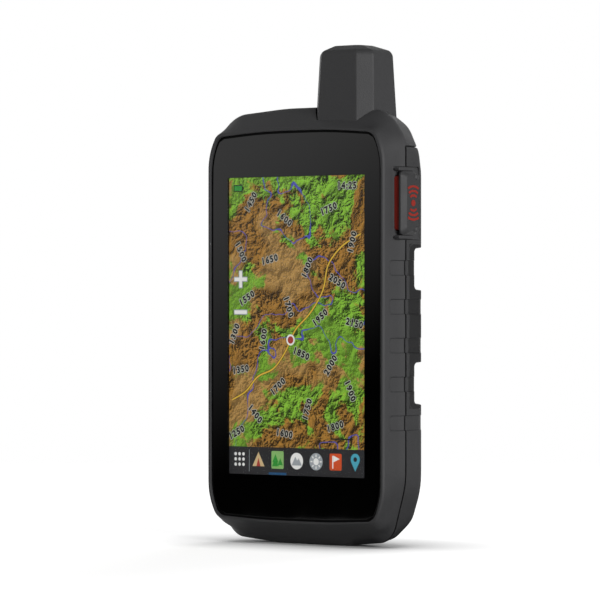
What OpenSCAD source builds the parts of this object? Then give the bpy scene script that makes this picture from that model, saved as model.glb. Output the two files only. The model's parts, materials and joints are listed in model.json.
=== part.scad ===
// Handheld navigator: a sealed, glove-friendly unit with a tall touch screen, a stub antenna,
// a capped emergency button, and a battery door held by a turn latch with a folding D-ring.
// Millimetres. +Z is up the long side, the screen faces -Y, and the origin is on the base face.

/* [Show] */
// Which piece to show

/* [Body] */
// Width across the grips
body_w = 88.4; // [84:0.2:94]
// Height of the body without the antenna
body_h = 158; // [152:0.5:164]
// Depth from the rim to the face of the battery door
body_d = 32.7; // [31.5:0.1:35]
// Wall of the two shells
wall = 2; // [1.6:0.1:2.4]
// Depth of the parting plane behind the rim
part_d = 9.6; // [9:0.1:10.4]
// Width of the open line between the shells
seam = 0.3; // [0.2:0.05:0.4]
// How far the side slopes outward from glass to parting plane
side_slope = 4.5; // [3.5:0.1:5.5]
// Width of the flat foot
foot_w = 30; // [24:1:40]
// How far the side is cut back to the rear face, along X
edge_cut = 7.6; // [6.5:0.1:8.2]
// Height of the line where the top cap ends, below the top of the body
cap_drop = 14.8; // [13.5:0.1:16]

/* [Screen] */
// Chin below the glass
chin_h = 9.4; // [8:0.2:11]
// Brow above the glass
brow_h = 9.2; // [8:0.2:11]
// Thickness of the cover glass
glass_t = 1.1; // [0.9:0.1:1.4]
// Depth of the glass face behind the rim
glass_recess = 0.8; // [0.5:0.1:1.2]
// Width of the lip round the glass
lip_w = 1.2; // [0.9:0.1:1.6]
// Dark border beside the lit display
display_side = 7.3; // [6.8:0.1:9]
// Dark border above the lit display
display_drop = 15.8; // [15:0.2:18]
// Dark border below the lit display
display_rise = 15.6; // [14:0.2:17]

/* [Antenna] */
// Width of the stub at its foot
antenna_w = 27.2; // [24:0.2:29]
// Depth of the stub at its foot
antenna_dp = 19.2; // [17:0.2:20]
// Height of the stub above the body
antenna_up = 21.8; // [16:0.2:30]
// Centre of the stub to the right of the middle
antenna_x = 17.8; // [15:0.2:19]
// Front of the stub behind the rim
antenna_front = 2.8; // [2.6:0.1:4]
// Cut on its upright corners
antenna_cut = 4; // [3:0.1:5]
// How much each side leans in over the height
antenna_lean = 1.8; // [1:0.1:2.4]

/* [Grip bands] */
// Number of shallow bands on each side
band_n = 5; // [3:1:5]
// Height of a band
band_h = 5.3; // [4:0.1:6]
// Middle of the lowest band
band_z = 44.6; // [42:0.2:47]
// Middle of the highest band below the emergency panel
band_drop = 10.1; // [9:0.1:12]
// Depth of a band
band_in = 0.4; // [0.3:0.05:0.6]

/* [Cradle notches] */
// Height of a notch
notch_h = 14.8; // [12:0.2:16]
// Middle of the lower notch
notch_z = 58.6; // [56:0.2:62]
// Middle of the upper notch below the emergency panel
notch_drop = 10.4; // [10.2:0.1:12]
// Depth behind the rim where a notch leaves the side
notch_d = 15; // [14.4:0.1:16]
// Bend of the inner corners of a notch
notch_r = 1.5; // [1:0.1:2]

/* [Emergency button] */
// Middle of the button below the top of the body
sos_drop = 35.2; // [33:0.2:38]
// Height of the panel
sos_panel_h = 25.8; // [24:0.2:27]
// Height of the cap
sos_cap_h = 22.8; // [21:0.2:23.4]
// Thickness of the walls of the cap
sos_wall = 1.3; // [1.1:0.1:1.5]
// Radius of the cap's round rear edge
sos_nose = 1.55; // [1.4:0.05:1.8]
// Radius of the hinge pin
sos_pin_r = 0.7; // [0.6:0.05:0.8]
// How far the button goes in
sos_travel = 0.8; // [0.6:0.1:1]

/* [Power button] */
// Middle of the button below the top of the body
power_drop = 36; // [34:0.5:40]
// Length of the button
power_len = 15; // [12:0.5:17]
// Width of the button
power_w = 4.2; // [3.6:0.1:4.6]
// How far the button goes in
power_travel = 0.6; // [0.4:0.1:0.8]

/* [Data socket] */
// Middle of the socket above the base
usb_z = 72; // [68:0.5:76]
// Length of the rubber flap
usb_len = 22; // [20:0.5:24]
// Width of the rubber flap
usb_w = 7; // [6.6:0.1:7.2]

/* [Battery] */
// Width of the pack
pack_w = 48; // [44:0.5:49]
// Lower end of the well above the base
well_z = 43; // [42:0.5:45]
// Room for the camera and the contacts between the well and the line of the top cap
well_drop = 41; // [40:0.5:45]
// Gap round the pack
pack_gap = 0.4; // [0.3:0.05:0.5]
// Wall of the well
well_wall = 1.6; // [1.4:0.1:1.8]

/* [Battery door] */
// Width of the door
door_w = 57; // [56:0.2:58]
// Lower edge of the door above the base
door_z = 17.4; // [17:0.1:18]
// Thickness of the door
door_t = 4.2; // [4:0.1:4.6]
// Radius of the corners of the door
door_r = 5; // [4:0.2:6]
// Gap between door and back
door_gap = 0.3; // [0.25:0.05:0.4]

/* [Latch] */
// Middle of the latch above the base
latch_z = 30; // [29.5:0.1:30.5]
// Radius of the D-ring's bow
ring_r = 10.4; // [9.6:0.1:10.6]
// Radius of the D-ring's wire
wire_r = 1; // [0.9:0.05:1.1]
// Radius of the stud
stud_r = 3; // [2.8:0.1:3.2]
// Half length of the stud's cross bar
tee_l = 5.4; // [5.2:0.1:5.8]
// Radius of the hairpin wire
pin_r = 0.55; // [0.45:0.05:0.6]
// Radial clearance of turning shafts
run_gap = 0.05; // [0.03:0.01:0.08]

/* [Board] */
// Front of the main board behind the rim
board_d = 7.4; // [7.2:0.1:7.6]
// Thickness of the main board
board_t = 1.2; // [1:0.1:1.4]

/* [Hidden] */
$fn = 48;
slice = 0.05;
cavity_lap = 0.6;
arc_step = 9;
fit = 0.15;
side = body_w / 2;
foot_d = 15;
cap_z = body_h - cap_drop;
back_d = body_d - door_t - door_gap;
side_d = back_d - edge_cut - 0.7;
glass_half = side - side_slope;
glass_z0 = chin_h;
glass_z1 = body_h - brow_h;
glass_gap = 0.25;
gasket_t = 0.3;
rim_w = lip_w + glass_gap;
rim_round = 0.5;
brow_d = part_d - 2.6;
brow_in = 0.9;
crest_w = 20;
glass_back = glass_recess + glass_t;
ledge_d = glass_back + gasket_t;
ledge_back = ledge_d + 1.4;
display_w = 2 * (glass_half - display_side);
display_z0 = glass_z0 + display_rise;
display_z1 = glass_z1 - display_drop;
panel_side = 1.2;
panel_d0 = glass_back + 0.1;
panel_d1 = ledge_back;
tray_d0 = ledge_back + 0.1;
tray_t = 2.2;
tray_d1 = tray_d0 + tray_t;
tray_side = panel_side + 1.6;
board_d1 = board_d + board_t;
board_x = glass_half - 0.5;
board_z0 = glass_z0 + 7.8;
board_z1 = cap_z - 10.6;
shield_t = 2.4;
shield_x = pack_w / 2 - 2;
beeper_at = [board_x - 15.2, board_z0 + 13.8];
beeper_r = 6;
card_w = 11;
card_l = 13.8;
card_side = 0.2;
holder_wall = 1.5;
post_r = 1.9;
post_x = board_x - 1.7;
post_z = [board_z0 + 22, board_z1 - 24];
boss_r = 3.2;
boss_split = 12.7;
screw_r = 1.25;
head_r = 2.2;
head_t = 1.8;
boss_at = [[-25, 12.9], [25, 12.9], [-29.5, cap_z - 4], [29.5, cap_z - 4]];
shelf_z = body_h - 8;
antenna_x0 = antenna_x - antenna_w / 2;
antenna_x1 = antenna_x + antenna_w / 2;
antenna_d0 = antenna_front;
antenna_d1 = antenna_front + antenna_dp;
antenna_mid = (antenna_d0 + antenna_d1) / 2;
antenna_top = body_h + antenna_up;
antenna_wall = 1.8;
core_r = 4.6;
notch_k = side + notch_d;
pocket_d = notch_d - 3.1;
pocket_turn = 102.7;
pocket_over = 1.5;
sos_z = body_h - sos_drop;
sos_foot = sos_z - sos_panel_h / 2;
band_pitch = (sos_foot - band_drop - band_z) / (band_n - 1);
notch_pitch = sos_foot - notch_drop - notch_z;
sos_d0 = part_d - 5.3;
sos_d1 = part_d + 8.7;
sos_in = side - 3.4;
sos_pin_x = side + 1.6;
sos_pin_d = part_d + 3.3;
sos_face = sos_pin_x + sos_nose;
sos_front = part_d - 4.9;
sos_key_h = sos_cap_h - 3.4;
sos_key_d0 = sos_front + 0.6;
sos_key_d1 = part_d + 0.8;
sos_key_x = side + 0.9;
sos_ear_t = 1.3;
power_z = body_h - power_drop;
power_d = part_d + 3.2;
power_face = side + 0.4;
power_wall_x = side - wall - 1.4;
usb_d0 = part_d + 1.8;
usb_d1 = usb_d0 + usb_w;
usb_floor = side - 2.8;
usb_nose = 1.1;
usb_pin_x = usb_floor + 0.2 + usb_nose;
usb_pin_z = usb_z - usb_len / 2 + usb_nose;
usb_mid_d = usb_d0 + 2.2;
usb_trunnion = 0.6;
flap_room = 1.9;
well_x = pack_w / 2 + pack_gap;
well_z1 = cap_z - well_drop;
pack_h = well_z1 - well_z - 2 * pack_gap - 0.4;
card_x = card_w / 2 + card_side;
card_z = well_z1 - 22;
shield_z = well_z + 3;
shield_h = (card_z - shield_z) * 0.7;
well_floor = board_d1 + 4.3;
well_floor_t = 1.3;
door_z1 = well_z1 + 8;
door_h = door_z1 - door_z;
lip_t = 1.2;
lip_in = 1.2;
pack_d0 = well_floor + 0.3;
pack_d1 = back_d - lip_in - 0.3;
recess_r = ring_r + wire_r + 1.4;
recess_in = 3.4;
bar_d = body_d - 1.7;
latch_boss_r = 7.4;
latch_boss_d = back_d - 2.2;
clip_t = 0.8;
keeper_x = 8.6;
keeper_h = 8;
keeper_floor = back_d - 13;
wire_d = back_d - 7.8;
wire_z = stud_r + 0.25;
tee_d1 = wire_d - pin_r - 0.15;
tee_t = 2.2;
neck_r = wire_z - pin_r - 0.3;
pin_end = keeper_x + well_wall + 1.6;
peg_x = 18;
peg_z = door_z1 - 3.4;
peg_r = 1.4;
camera_at = [-20, cap_z - 14];
camera_r = 4.6;
flash_at = [-7, cap_z - 14];
flash_r = 2.8;
vent_at = [6, cap_z - 14];
vent_r = 2.6;
contacts_z = door_z1 + 6.4;
contacts_w = 22;
contacts_h = 6.4;
pad_n = 5;
pad_pitch = 4.2;
port_at = [24, cap_z - 19];
port_w = 10;
port_h = 16;
port_nose = 1;
port_floor = back_d - 2.6;
port_block = back_d - 6;
port_pin_d = back_d - port_nose - 0.05;
port_pin_z = port_at[1] - port_h / 2 + port_nose;

// Depth behind the rim, as a place on Y
function dy(d) = d - foot_d;

function unit(v) = v / norm(v);
function flat(p) = [p[0], p[1]];

// Points of the bend that rounds corner p between its neighbours a and b
function bend(a, p, b, r) =
    let (u = unit(a - p),
         w = unit(b - p),
         half = acos(max(-1, min(1, u * w))) / 2,
         turn = 180 - 2 * half,
         c = p + unit(u + w) * (r / sin(half)),
         s = p + u * (r / tan(half)) - c,
         e = p + w * (r / tan(half)) - c,
         n = max(2, ceil(turn / arc_step)))
    [for (i = [0 : n]) c + (s * sin((1 - i / n) * turn) + e * sin(i / n * turn)) / sin(turn)];

// A closed outline with each corner [x, z, radius] rounded
function rounded(p) =
    let (n = len(p))
    [for (i = [0 : n - 1]) each bend(flat(p[(i + n - 1) % n]), flat(p[i]), flat(p[(i + 1) % n]), p[i][2])];

// A right half, bottom to top, joined to its mirror image
function both(h) = concat(h, [for (i = [len(h) - 1 : -1 : 0]) [-h[i][0], h[i][1], h[i][2]]]);

body_pts = rounded(both([
    [foot_w / 2, 0, 60],
    [side - 9.6, 1.7, 8],
    [side - 5.3, 5.2, 8],
    [side, 23, 30],
    [side, body_h - 12.5, 12],
    [side - 8.2, body_h - 1.8, 14],
    [crest_w / 2, body_h, 120]]));

rear_pts = rounded(both([
    [foot_w / 2 - 1, 0, 30],
    [side - 14.5, 2.6, 10],
    [side - 6.4, 9.6, 9],
    [side - 1.1, 24, 30],
    [side - 1.1, body_h - 27, 20],
    [side - 3.3, body_h - 16.4, 12],
    [side - 8, body_h - 7.4, 10],
    [side - 17.5, body_h - 1.5, 12],
    [crest_w / 2, body_h - 0.8, 80]]));

glass_pts = rounded(both([
    [glass_half - 23.7, glass_z0, 250],
    [glass_half - 3.1, glass_z0 + 1, 4],
    [glass_half, glass_z0 + 9.1, 25],
    [glass_half, glass_z1 - 9.4, 25],
    [glass_half - 3.3, glass_z1 - 1.5, 4],
    [glass_half - 23.7, glass_z1, 250]]));

module body_shape() polygon(body_pts);
module rear_shape() polygon(rear_pts);
module glass_shape() polygon(glass_pts);

// A 2-D shape in X and Z, given thickness between two depths
module slab(d0, d1) {
    translate([0, dy(d1), 0])
        rotate([90, 0, 0])
            linear_extrude(d1 - d0)
                children();
}

module box(x0, x1, d0, d1, z0, z1) {
    translate([x0, dy(d0), z0])
        cube([x1 - x0, d1 - d0, z1 - z0]);
}

module rod_x(d, z, r, x0, x1) {
    translate([x0, dy(d), z])
        rotate([0, 90, 0])
            cylinder(r = r, h = x1 - x0);
}

module rod_y(x, z, r, d0, d1) {
    translate([x, dy(d0), z])
        rotate([-90, 0, 0])
            cylinder(r = r, h = d1 - d0);
}

module rod_z(x, d, r, z0, z1) {
    translate([x, dy(d), z0])
        cylinder(r = r, h = z1 - z0);
}

module rrect(w, h, r) {
    square([w - 2 * r, h], center = true);
    square([w, h - 2 * r], center = true);
    for (i = [-1, 1], j = [-1, 1])
        translate([i * (w / 2 - r), j * (h / 2 - r)])
            circle(r);
}

// Rounded plate about (x, z) between two depths
module plate(x, z, w, h, r, d0, d1) {
    slab(d0, d1)
        translate([x, z])
            rrect(w, h, r);
}

module both_sides() {
    children();
    mirror([1, 0, 0])
        children();
}

// Outer form in front of the parting plane, drawn in by inset
module front_solid(inset) {
    hull() {
        slab(0, slice)
            offset(delta = rim_w - rim_round - inset)
                glass_shape();
        slab(rim_round, rim_round + slice)
            offset(delta = rim_w - inset)
                glass_shape();
        slab(brow_d, brow_d + slice)
            translate([0, brow_in])
                offset(delta = -brow_in - inset)
                    body_shape();
        slab(part_d - slice, part_d)
            offset(delta = -inset)
                body_shape();
    }
}

// Outer form behind the parting plane, drawn in by inset
module rear_solid(inset) {
    hull() {
        slab(part_d, part_d + slice)
            offset(delta = -inset)
                body_shape();
        slab(side_d - slice, side_d)
            offset(delta = -inset)
                rear_shape();
        slab(back_d - inset - slice, back_d - inset)
            offset(delta = -edge_cut - inset)
                rear_shape();
    }
}

module front_cavity() {
    hull() {
        slab(ledge_back, ledge_back + slice)
            offset(delta = rim_w - 0.95)
                glass_shape();
        slab(brow_d, brow_d + slice)
            translate([0, brow_in])
                offset(delta = -brow_in - wall)
                    body_shape();
        slab(part_d + cavity_lap, part_d + cavity_lap + slice)
            offset(delta = -wall - 0.6)
                body_shape();
    }
}

// Starts in front of the parting plane and wider than the front cavity there, so the two cross cleanly
module rear_cavity() {
    hull() {
        slab(part_d - cavity_lap, part_d - cavity_lap + slice)
            offset(delta = 0.1 - wall)
                body_shape();
        slab(part_d + 4.4, part_d + 4.4 + slice)
            offset(delta = -wall - 1.2)
                rear_shape();
        slab(back_d - wall - slice, back_d - wall)
            offset(delta = -edge_cut - wall - 5)
                rear_shape();
    }
}

module antenna_zone() {
    box(antenna_x0 - 2, antenna_x1 + 2, 0, antenna_d1 + 2, shelf_z - 3, body_h + 5);
}

module antenna_plan(x0, x1, d0, d1, c) {
    polygon([
        [x0 + c, dy(d0)],
        [x1 - c, dy(d0)],
        [x1, dy(d0) + c],
        [x1, dy(d1) - c],
        [x1 - c, dy(d1)],
        [x0 + c, dy(d1)],
        [x0, dy(d1) - c],
        [x0, dy(d0) + c]]);
}

module antenna_pocket() {
    translate([0, 0, shelf_z])
        linear_extrude(40)
            antenna_plan(antenna_x0 - fit, antenna_x1 + fit, antenna_d0 - fit, antenna_d1 + fit, antenna_cut);
    rod_z(antenna_x, antenna_mid, 3.6, shelf_z - 10, shelf_z + 1);
}

module sos_window(gap) {
    box(sos_in - gap, side + 20, sos_d0 - gap, sos_d1 + gap,
        sos_z - sos_panel_h / 2 - gap, sos_z + sos_panel_h / 2 + gap);
}

module band_boxes(d1) {
    for (i = [0 : band_n - 1])
        both_sides()
            box(side - 8, side + 5, 3, d1,
                band_z + i * band_pitch - band_h / 2, band_z + i * band_pitch + band_h / 2);
}

module front_frame() {
    color([0.13, 0.13, 0.13])
        difference() {
            union() {
                difference() {
                    union() {
                        front_solid(0);
                        intersection() {
                            rear_solid(0);
                            box(-60, 60, part_d - 1, 60, cap_z, 300);
                        }
                    }
                    difference() {
                        union() {
                            front_cavity();
                            rear_cavity();
                        }
                        antenna_zone();
                    }
                }
                for (z = post_z)
                    both_sides()
                        rod_y(post_x, z, post_r, ledge_back - 0.5, board_d);
                for (p = boss_at)
                    rod_y(p[0], p[1], boss_r, ledge_back - 0.5, boss_split);
            }
            slab(-5, ledge_d)
                offset(delta = glass_gap)
                    glass_shape();
            box(-display_w / 2 - panel_side - 0.2, display_w / 2 + panel_side + 0.2, 0, ledge_back + 0.1,
                display_z0 - panel_side - 0.2, display_z1 + panel_side + 0.2);
            difference() {
                band_boxes(part_d + 0.5);
                front_solid(band_in);
            }
            antenna_pocket();
            sos_window(fit);
            for (z = post_z)
                both_sides()
                    rod_y(post_x, z, screw_r - 0.4, ledge_back + 0.6, board_d + 1);
            for (p = boss_at)
                rod_y(p[0], p[1], 2, boss_split - 5, boss_split + 1);
            for (p = boss_at)
                rod_y(p[0], p[1], screw_r + 0.1, boss_split - 7.4, boss_split);
        }
}

module notch_cuts() {
    for (i = [0, 1])
        translate([side, dy(notch_d), notch_z + i * notch_pitch])
            rotate([90, 0, 45])
                translate([0, 0, -24])
                    linear_extrude(30)
                        translate([10, 0])
                            rrect(20, notch_h, notch_r);
    translate([side, dy(pocket_d), notch_z + notch_pitch / 2])
        rotate([90, 0, pocket_turn])
            linear_extrude(10)
                translate([12, 0])
                    rrect(24, notch_pitch + notch_h + 2 * pocket_over, 3);
}

module port_cuts() {
    box(port_at[0] - port_w / 2, port_at[0] + port_w / 2, port_floor, back_d + 5,
        port_pin_z - flap_room, port_at[1] + port_h / 2);
    rod_y(port_at[0], port_at[1] + 2, 3.1, port_block - 1, back_d);
    rod_x(port_pin_d, port_pin_z, usb_trunnion + run_gap,
          port_at[0] - port_w / 2 - 1.1, port_at[0] + port_w / 2 + 1.1);
}

module usb_cuts() {
    box(-side - 5, -usb_floor, usb_d0, usb_d1, usb_pin_z - flap_room - 0.4, usb_z + usb_len / 2 + 0.2);
    box(-usb_floor - 1, -usb_floor + 6, usb_mid_d - 1.7, usb_mid_d + 1.7, usb_z - 4.3, usb_z + 4.3);
    rod_y(-usb_pin_x, usb_pin_z, usb_trunnion + run_gap, usb_d0 - 1.1, usb_d1 + 1.1);
}

module rear_housing() {
    color([0.15, 0.15, 0.15])
        difference() {
            union() {
                difference() {
                    rear_solid(0);
                    rear_cavity();
                    box(-60, 60, 0, 60, cap_z - seam, 300);
                }
                box(-well_x - well_wall, well_x + well_wall, well_floor - well_floor_t, back_d,
                    well_z - well_wall, well_z1 + well_wall);
                box(-keeper_x - well_wall, keeper_x + well_wall, keeper_floor - well_floor_t, back_d,
                    latch_z - keeper_h - well_wall, latch_z + keeper_h + well_wall);
                for (p = boss_at)
                    rod_y(p[0], p[1], boss_r, boss_split + seam, back_d - 0.5);
                for (i = [-1, 1])
                    rod_y(i * peg_x, peg_z, 3, back_d - 4, back_d - 0.5);
                rod_y(camera_at[0], camera_at[1], camera_r + 1.6, back_d - 9, back_d - 0.5);
                rod_y(flash_at[0], flash_at[1], flash_r + 1.4, back_d - 6, back_d - 0.5);
                box(port_at[0] - port_w / 2 - 1.6, port_at[0] + port_w / 2 + 1.6, port_block, back_d - 0.5,
                    port_pin_z - flap_room - 1.6, port_at[1] + port_h / 2 + 1.6);
                box(-usb_floor - 0.5, -usb_floor + 2.6, part_d + seam, usb_d1 + 1.4,
                    usb_pin_z - flap_room - 1.8, usb_z + usb_len / 2 + 1.6);
            }
            box(-60, 60, 0, part_d + seam, -5, 300);
            box(-well_x, well_x, well_floor, back_d + 9, well_z, well_z1);
            box(-card_x - 2.3, card_x + 2.3, well_floor - 3, well_floor + 1,
                card_z - 3.2, card_z + card_l - 1);
            box(-keeper_x, keeper_x, keeper_floor, back_d + 9, latch_z - keeper_h, latch_z + keeper_h);
            for (i = [-1, 1])
                rod_x(wire_d, latch_z + i * wire_z, pin_r + run_gap, -pin_end - 1, pin_end + 1);
            for (p = boss_at) {
                rod_y(p[0], p[1], screw_r + 0.15, boss_split - 1, back_d + 1);
                rod_y(p[0], p[1], head_r + 0.2, back_d - head_t - 0.6, back_d + 1);
            }
            for (i = [-1, 1])
                rod_y(i * peg_x, peg_z, peg_r + 0.1, back_d - 2.8, back_d + 1);
            rod_y(camera_at[0], camera_at[1], camera_r, back_d - 12, back_d + 1);
            rod_y(camera_at[0], camera_at[1], camera_r + 1.1, back_d - 1.4, back_d + 1);
            rod_y(flash_at[0], flash_at[1], flash_r, back_d - 12, back_d + 1);
            rod_y(flash_at[0], flash_at[1], flash_r + 0.7, back_d - 1.2, back_d + 1);
            rod_y(vent_at[0], vent_at[1], vent_r, back_d - 1, back_d + 1);
            rod_y(vent_at[0], vent_at[1], 1, back_d - 6, back_d + 1);
            plate(0, contacts_z, contacts_w + 2 * fit, contacts_h + 2 * fit, 1.2, back_d - 6, back_d + 1);
            for (i = [-1 : 1])
                box(i * 7 - 1.1, i * 7 + 1.1, pack_d0 + 5.9, pack_d0 + 8.1, well_z1 - 1, well_z1 + 4);
            port_cuts();
            usb_cuts();
            both_sides()
                notch_cuts();
            difference() {
                band_boxes(side_d + 3);
                rear_solid(band_in);
            }
            sos_window(fit);
            power_hole();
        }
}

module power_shape(grow) {
    rrect(power_w + 2 * grow, power_len + 2 * grow, power_w / 2 + grow - 0.01);
}

// A 2-D shape in Y and Z, given thickness along -X between two distances from the middle
module left_slab(x0, x1, d, z) {
    translate([-x1, dy(d), z])
        rotate([90, 0, 90])
            linear_extrude(x1 - x0)
                children();
}

module power_hole() {
    left_slab(side - 8, side + 3, power_d, power_z)
        power_shape(0.2);
    left_slab(side - 12, power_wall_x - 0.1, power_d, power_z)
        power_shape(1.3);
}

module cover_glass() {
    color([0.04, 0.04, 0.05])
        slab(glass_recess, glass_back)
            glass_shape();
}

module glass_gasket() {
    color([0.05, 0.05, 0.05])
        difference() {
            slab(glass_back, ledge_d)
                offset(delta = -0.1)
                    glass_shape();
            box(-display_w / 2 - panel_side - 0.6, display_w / 2 + panel_side + 0.6, 0, 9,
                display_z0 - panel_side - 0.6, display_z1 + panel_side + 0.6);
        }
}

module display_panel() {
    color([0.35, 0.5, 0.25])
        box(-display_w / 2 - panel_side, display_w / 2 + panel_side, panel_d0, panel_d1,
            display_z0 - panel_side, display_z1 + panel_side);
}

module display_tray() {
    color([0.7, 0.72, 0.74])
        difference() {
            box(-display_w / 2 - tray_side, display_w / 2 + tray_side, tray_d0, tray_d1,
                display_z0 - tray_side, display_z1 + tray_side);
            for (z = [display_z0 + 28, display_z1 - 28])
                both_sides()
                    rod_y(display_w / 4, z, 2, tray_d1 - 0.8, tray_d1 + 1);
        }
}

module display_flex() {
    z0 = display_z0 - tray_side + 1;
    color([0.75, 0.5, 0.15])
        union() {
            box(-8, 8, tray_d1 + 0.05, tray_d1 + 0.25, z0, z0 + 14);
            box(-8, 8, tray_d1 + 0.05, board_d - 0.05, z0 - 0.2, z0);
            box(-8, 8, board_d - 0.25, board_d - 0.05, z0, z0 + 9);
        }
}

module main_board() {
    color([0.1, 0.32, 0.2])
        difference() {
            box(-board_x, board_x, board_d, board_d1, board_z0, board_z1);
            box(sos_in - 1.2 - sos_travel - 0.8, board_x + 1, board_d - 1, board_d1 + 1,
                sos_z - sos_key_h / 2 - 1.3, board_z1 + 1);
            for (z = post_z)
                both_sides()
                    rod_y(post_x, z, screw_r, board_d - 1, board_d1 + 1);
        }
}

module board_shields() {
    color([0.75, 0.76, 0.78]) {
        box(-shield_x, -2, board_d1, board_d1 + shield_t, shield_z, shield_z + shield_h);
        box(4, shield_x + 2, board_d1, board_d1 + shield_t, shield_z, shield_z + shield_h * 2 / 3);
        box(shield_x - 12, shield_x + 2, board_d1, board_d1 + shield_t,
            shield_z + shield_h * 7 / 8, well_z1 - 9.2);
    }
}

module board_screws() {
    color([0.6, 0.6, 0.62])
        for (z = post_z)
            both_sides() {
                rod_y(post_x, z, screw_r - 0.4, ledge_back + 1, board_d1);
                rod_y(post_x, z, 1.9, board_d1, board_d1 + 1.2);
            }
}

module beeper() {
    color([0.1, 0.1, 0.1])
        difference() {
            rod_y(beeper_at[0], beeper_at[1], beeper_r, board_d1, board_d1 + 3);
            rod_y(beeper_at[0], beeper_at[1], beeper_r / 6, board_d1 + 1.5, board_d1 + 4);
        }
}

module card_holder() {
    color([0.8, 0.8, 0.78])
        difference() {
            box(-card_x - holder_wall, card_x + holder_wall, board_d1, board_d1 + 2.2,
                card_z - 2.2, card_z + card_l - 2);
            box(-card_x, card_x, board_d1 + 0.5, board_d1 + 1.5, card_z - card_side, card_z + card_l + 9);
        }
}

module memory_card() {
    color([0.06, 0.06, 0.07])
        box(-card_w / 2, card_w / 2, board_d1 + 0.6, board_d1 + 1.35, card_z, card_z + card_l);
}

module case_seal() {
    color([0.03, 0.03, 0.03])
        difference() {
            intersection() {
                rear_solid(0.6);
                union() {
                    box(-60, 60, part_d, part_d + seam, -5, cap_z);
                    box(-60, 60, part_d, 60, cap_z - seam, cap_z);
                }
            }
            rear_solid(wall - 0.3);
            sos_window(fit);
        }
}

module case_screws() {
    color([0.12, 0.12, 0.13])
        for (p = boss_at)
            difference() {
                union() {
                    rod_y(p[0], p[1], screw_r, boss_split - 4.5, back_d - head_t);
                    rod_y(p[0], p[1], head_r, back_d - head_t - 0.6, back_d - 0.6);
                }
                rod_y(p[0], p[1], 1.1, back_d - 1.7, back_d);
            }
}

module thread_inserts() {
    color([0.72, 0.55, 0.2])
        for (p = boss_at)
            difference() {
                rod_y(p[0], p[1], 1.98, boss_split - 4.9, boss_split - 0.1);
                rod_y(p[0], p[1], screw_r + 0.02, boss_split - 6, boss_split + 1);
            }
}

module antenna_form(in_x, in_d, drop) {
    top = antenna_top - drop;
    lean = antenna_lean;
    hull() {
        translate([0, 0, shelf_z + 0.6])
            linear_extrude(slice)
                antenna_plan(antenna_x0 + in_x, antenna_x1 - in_x, antenna_d0 + in_d, antenna_d1 - in_d,
                             antenna_cut);
        translate([0, 0, top - 3.6])
            linear_extrude(slice)
                antenna_plan(antenna_x0 + lean + in_x, antenna_x1 - lean - in_x,
                             antenna_d0 + 0.2 + in_d, antenna_d1 - lean - in_d, antenna_cut);
        translate([0, 0, top - 1])
            linear_extrude(slice)
                antenna_plan(antenna_x0 + lean + 3 + in_x, antenna_x1 - lean - 3 - in_x,
                             antenna_d0 + 0.5 + in_d, antenna_d1 - lean - 2.4 - in_d, antenna_cut - 1);
        translate([0, 0, top - slice])
            linear_extrude(slice)
                antenna_plan(antenna_x0 + lean + 6 + in_x, antenna_x1 - lean - 6 - in_x,
                             antenna_d0 + 1.6 + in_d, antenna_d1 - lean - 5 - in_d, antenna_cut - 2);
    }
}

module antenna_cover() {
    color([0.14, 0.14, 0.14])
        difference() {
            antenna_form(0, 0, 0);
            antenna_form(antenna_wall, antenna_wall, antenna_wall + 0.4);
            translate([0, 0, shelf_z])
                linear_extrude(1)
                    antenna_plan(antenna_x0 + antenna_wall, antenna_x1 - antenna_wall,
                                 antenna_d0 + antenna_wall, antenna_d1 - antenna_wall, antenna_cut);
        }
}

module antenna_gasket() {
    color([0.04, 0.04, 0.04])
        translate([0, 0, shelf_z])
            linear_extrude(0.6)
                difference() {
                    antenna_plan(antenna_x0 + 0.2, antenna_x1 - 0.2, antenna_d0 + 0.2, antenna_d1 - 0.2,
                                 antenna_cut);
                    antenna_plan(antenna_x0 + 2.4, antenna_x1 - 2.4, antenna_d0 + 2.4, antenna_d1 - 2.4,
                                 antenna_cut);
                }
}

module antenna_core() {
    color([0.85, 0.83, 0.78])
        difference() {
            union() {
                rod_z(antenna_x, antenna_mid, core_r, shelf_z + 1.2, antenna_top - 4.6);
                rod_z(antenna_x, antenna_mid, core_r + 1, shelf_z, shelf_z + 1.2);
                rod_z(antenna_x, antenna_mid, 3.4, shelf_z - 3.4, shelf_z);
            }
            rod_z(antenna_x, antenna_mid, 0.8, shelf_z - 5, shelf_z + 8);
        }
}

module antenna_winding() {
    color([0.75, 0.45, 0.2])
        translate([antenna_x, dy(antenna_mid), shelf_z + 2.4])
            linear_extrude(antenna_up, twist = 200, slices = 14, segments = 4, $fn = 4)
                for (a = [0 : 90 : 270])
                    rotate(a)
                        translate([core_r + 0.02, -0.7])
                            square([0.3, 1.4]);
}

module antenna_lead() {
    z1 = board_z1 - 4;
    color([0.2, 0.2, 0.22])
        union() {
            rod_z(antenna_x, antenna_mid, 0.65, z1, shelf_z + 4);
            rod_y(antenna_x, z1, 0.65, board_d1 + 0.9, antenna_mid);
            translate([antenna_x, dy(antenna_mid), z1])
                sphere(0.65);
            rod_y(antenna_x, z1, 1.4, board_d1, board_d1 + 1.2);
        }
}

module sos_ears(z, t) {
    translate([0, 0, z])
        linear_extrude(t)
            union() {
                translate([sos_pin_x, dy(sos_pin_d)])
                    circle(sos_nose - 0.15);
                translate([sos_in + 1, dy(sos_pin_d - sos_nose + 0.15)])
                    square([sos_pin_x - sos_in - 1, 2 * sos_nose - 0.3]);
            }
}

module sos_key_shape(grow) {
    w = sos_key_d1 - sos_key_d0;
    translate([0, dy((sos_key_d0 + sos_key_d1) / 2), 0])
        rotate([90, 0, 90])
            linear_extrude(60)
                translate([0, sos_z])
                    rrect(w + 2 * grow, sos_key_h + 2 * grow, 1 + grow);
}

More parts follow.
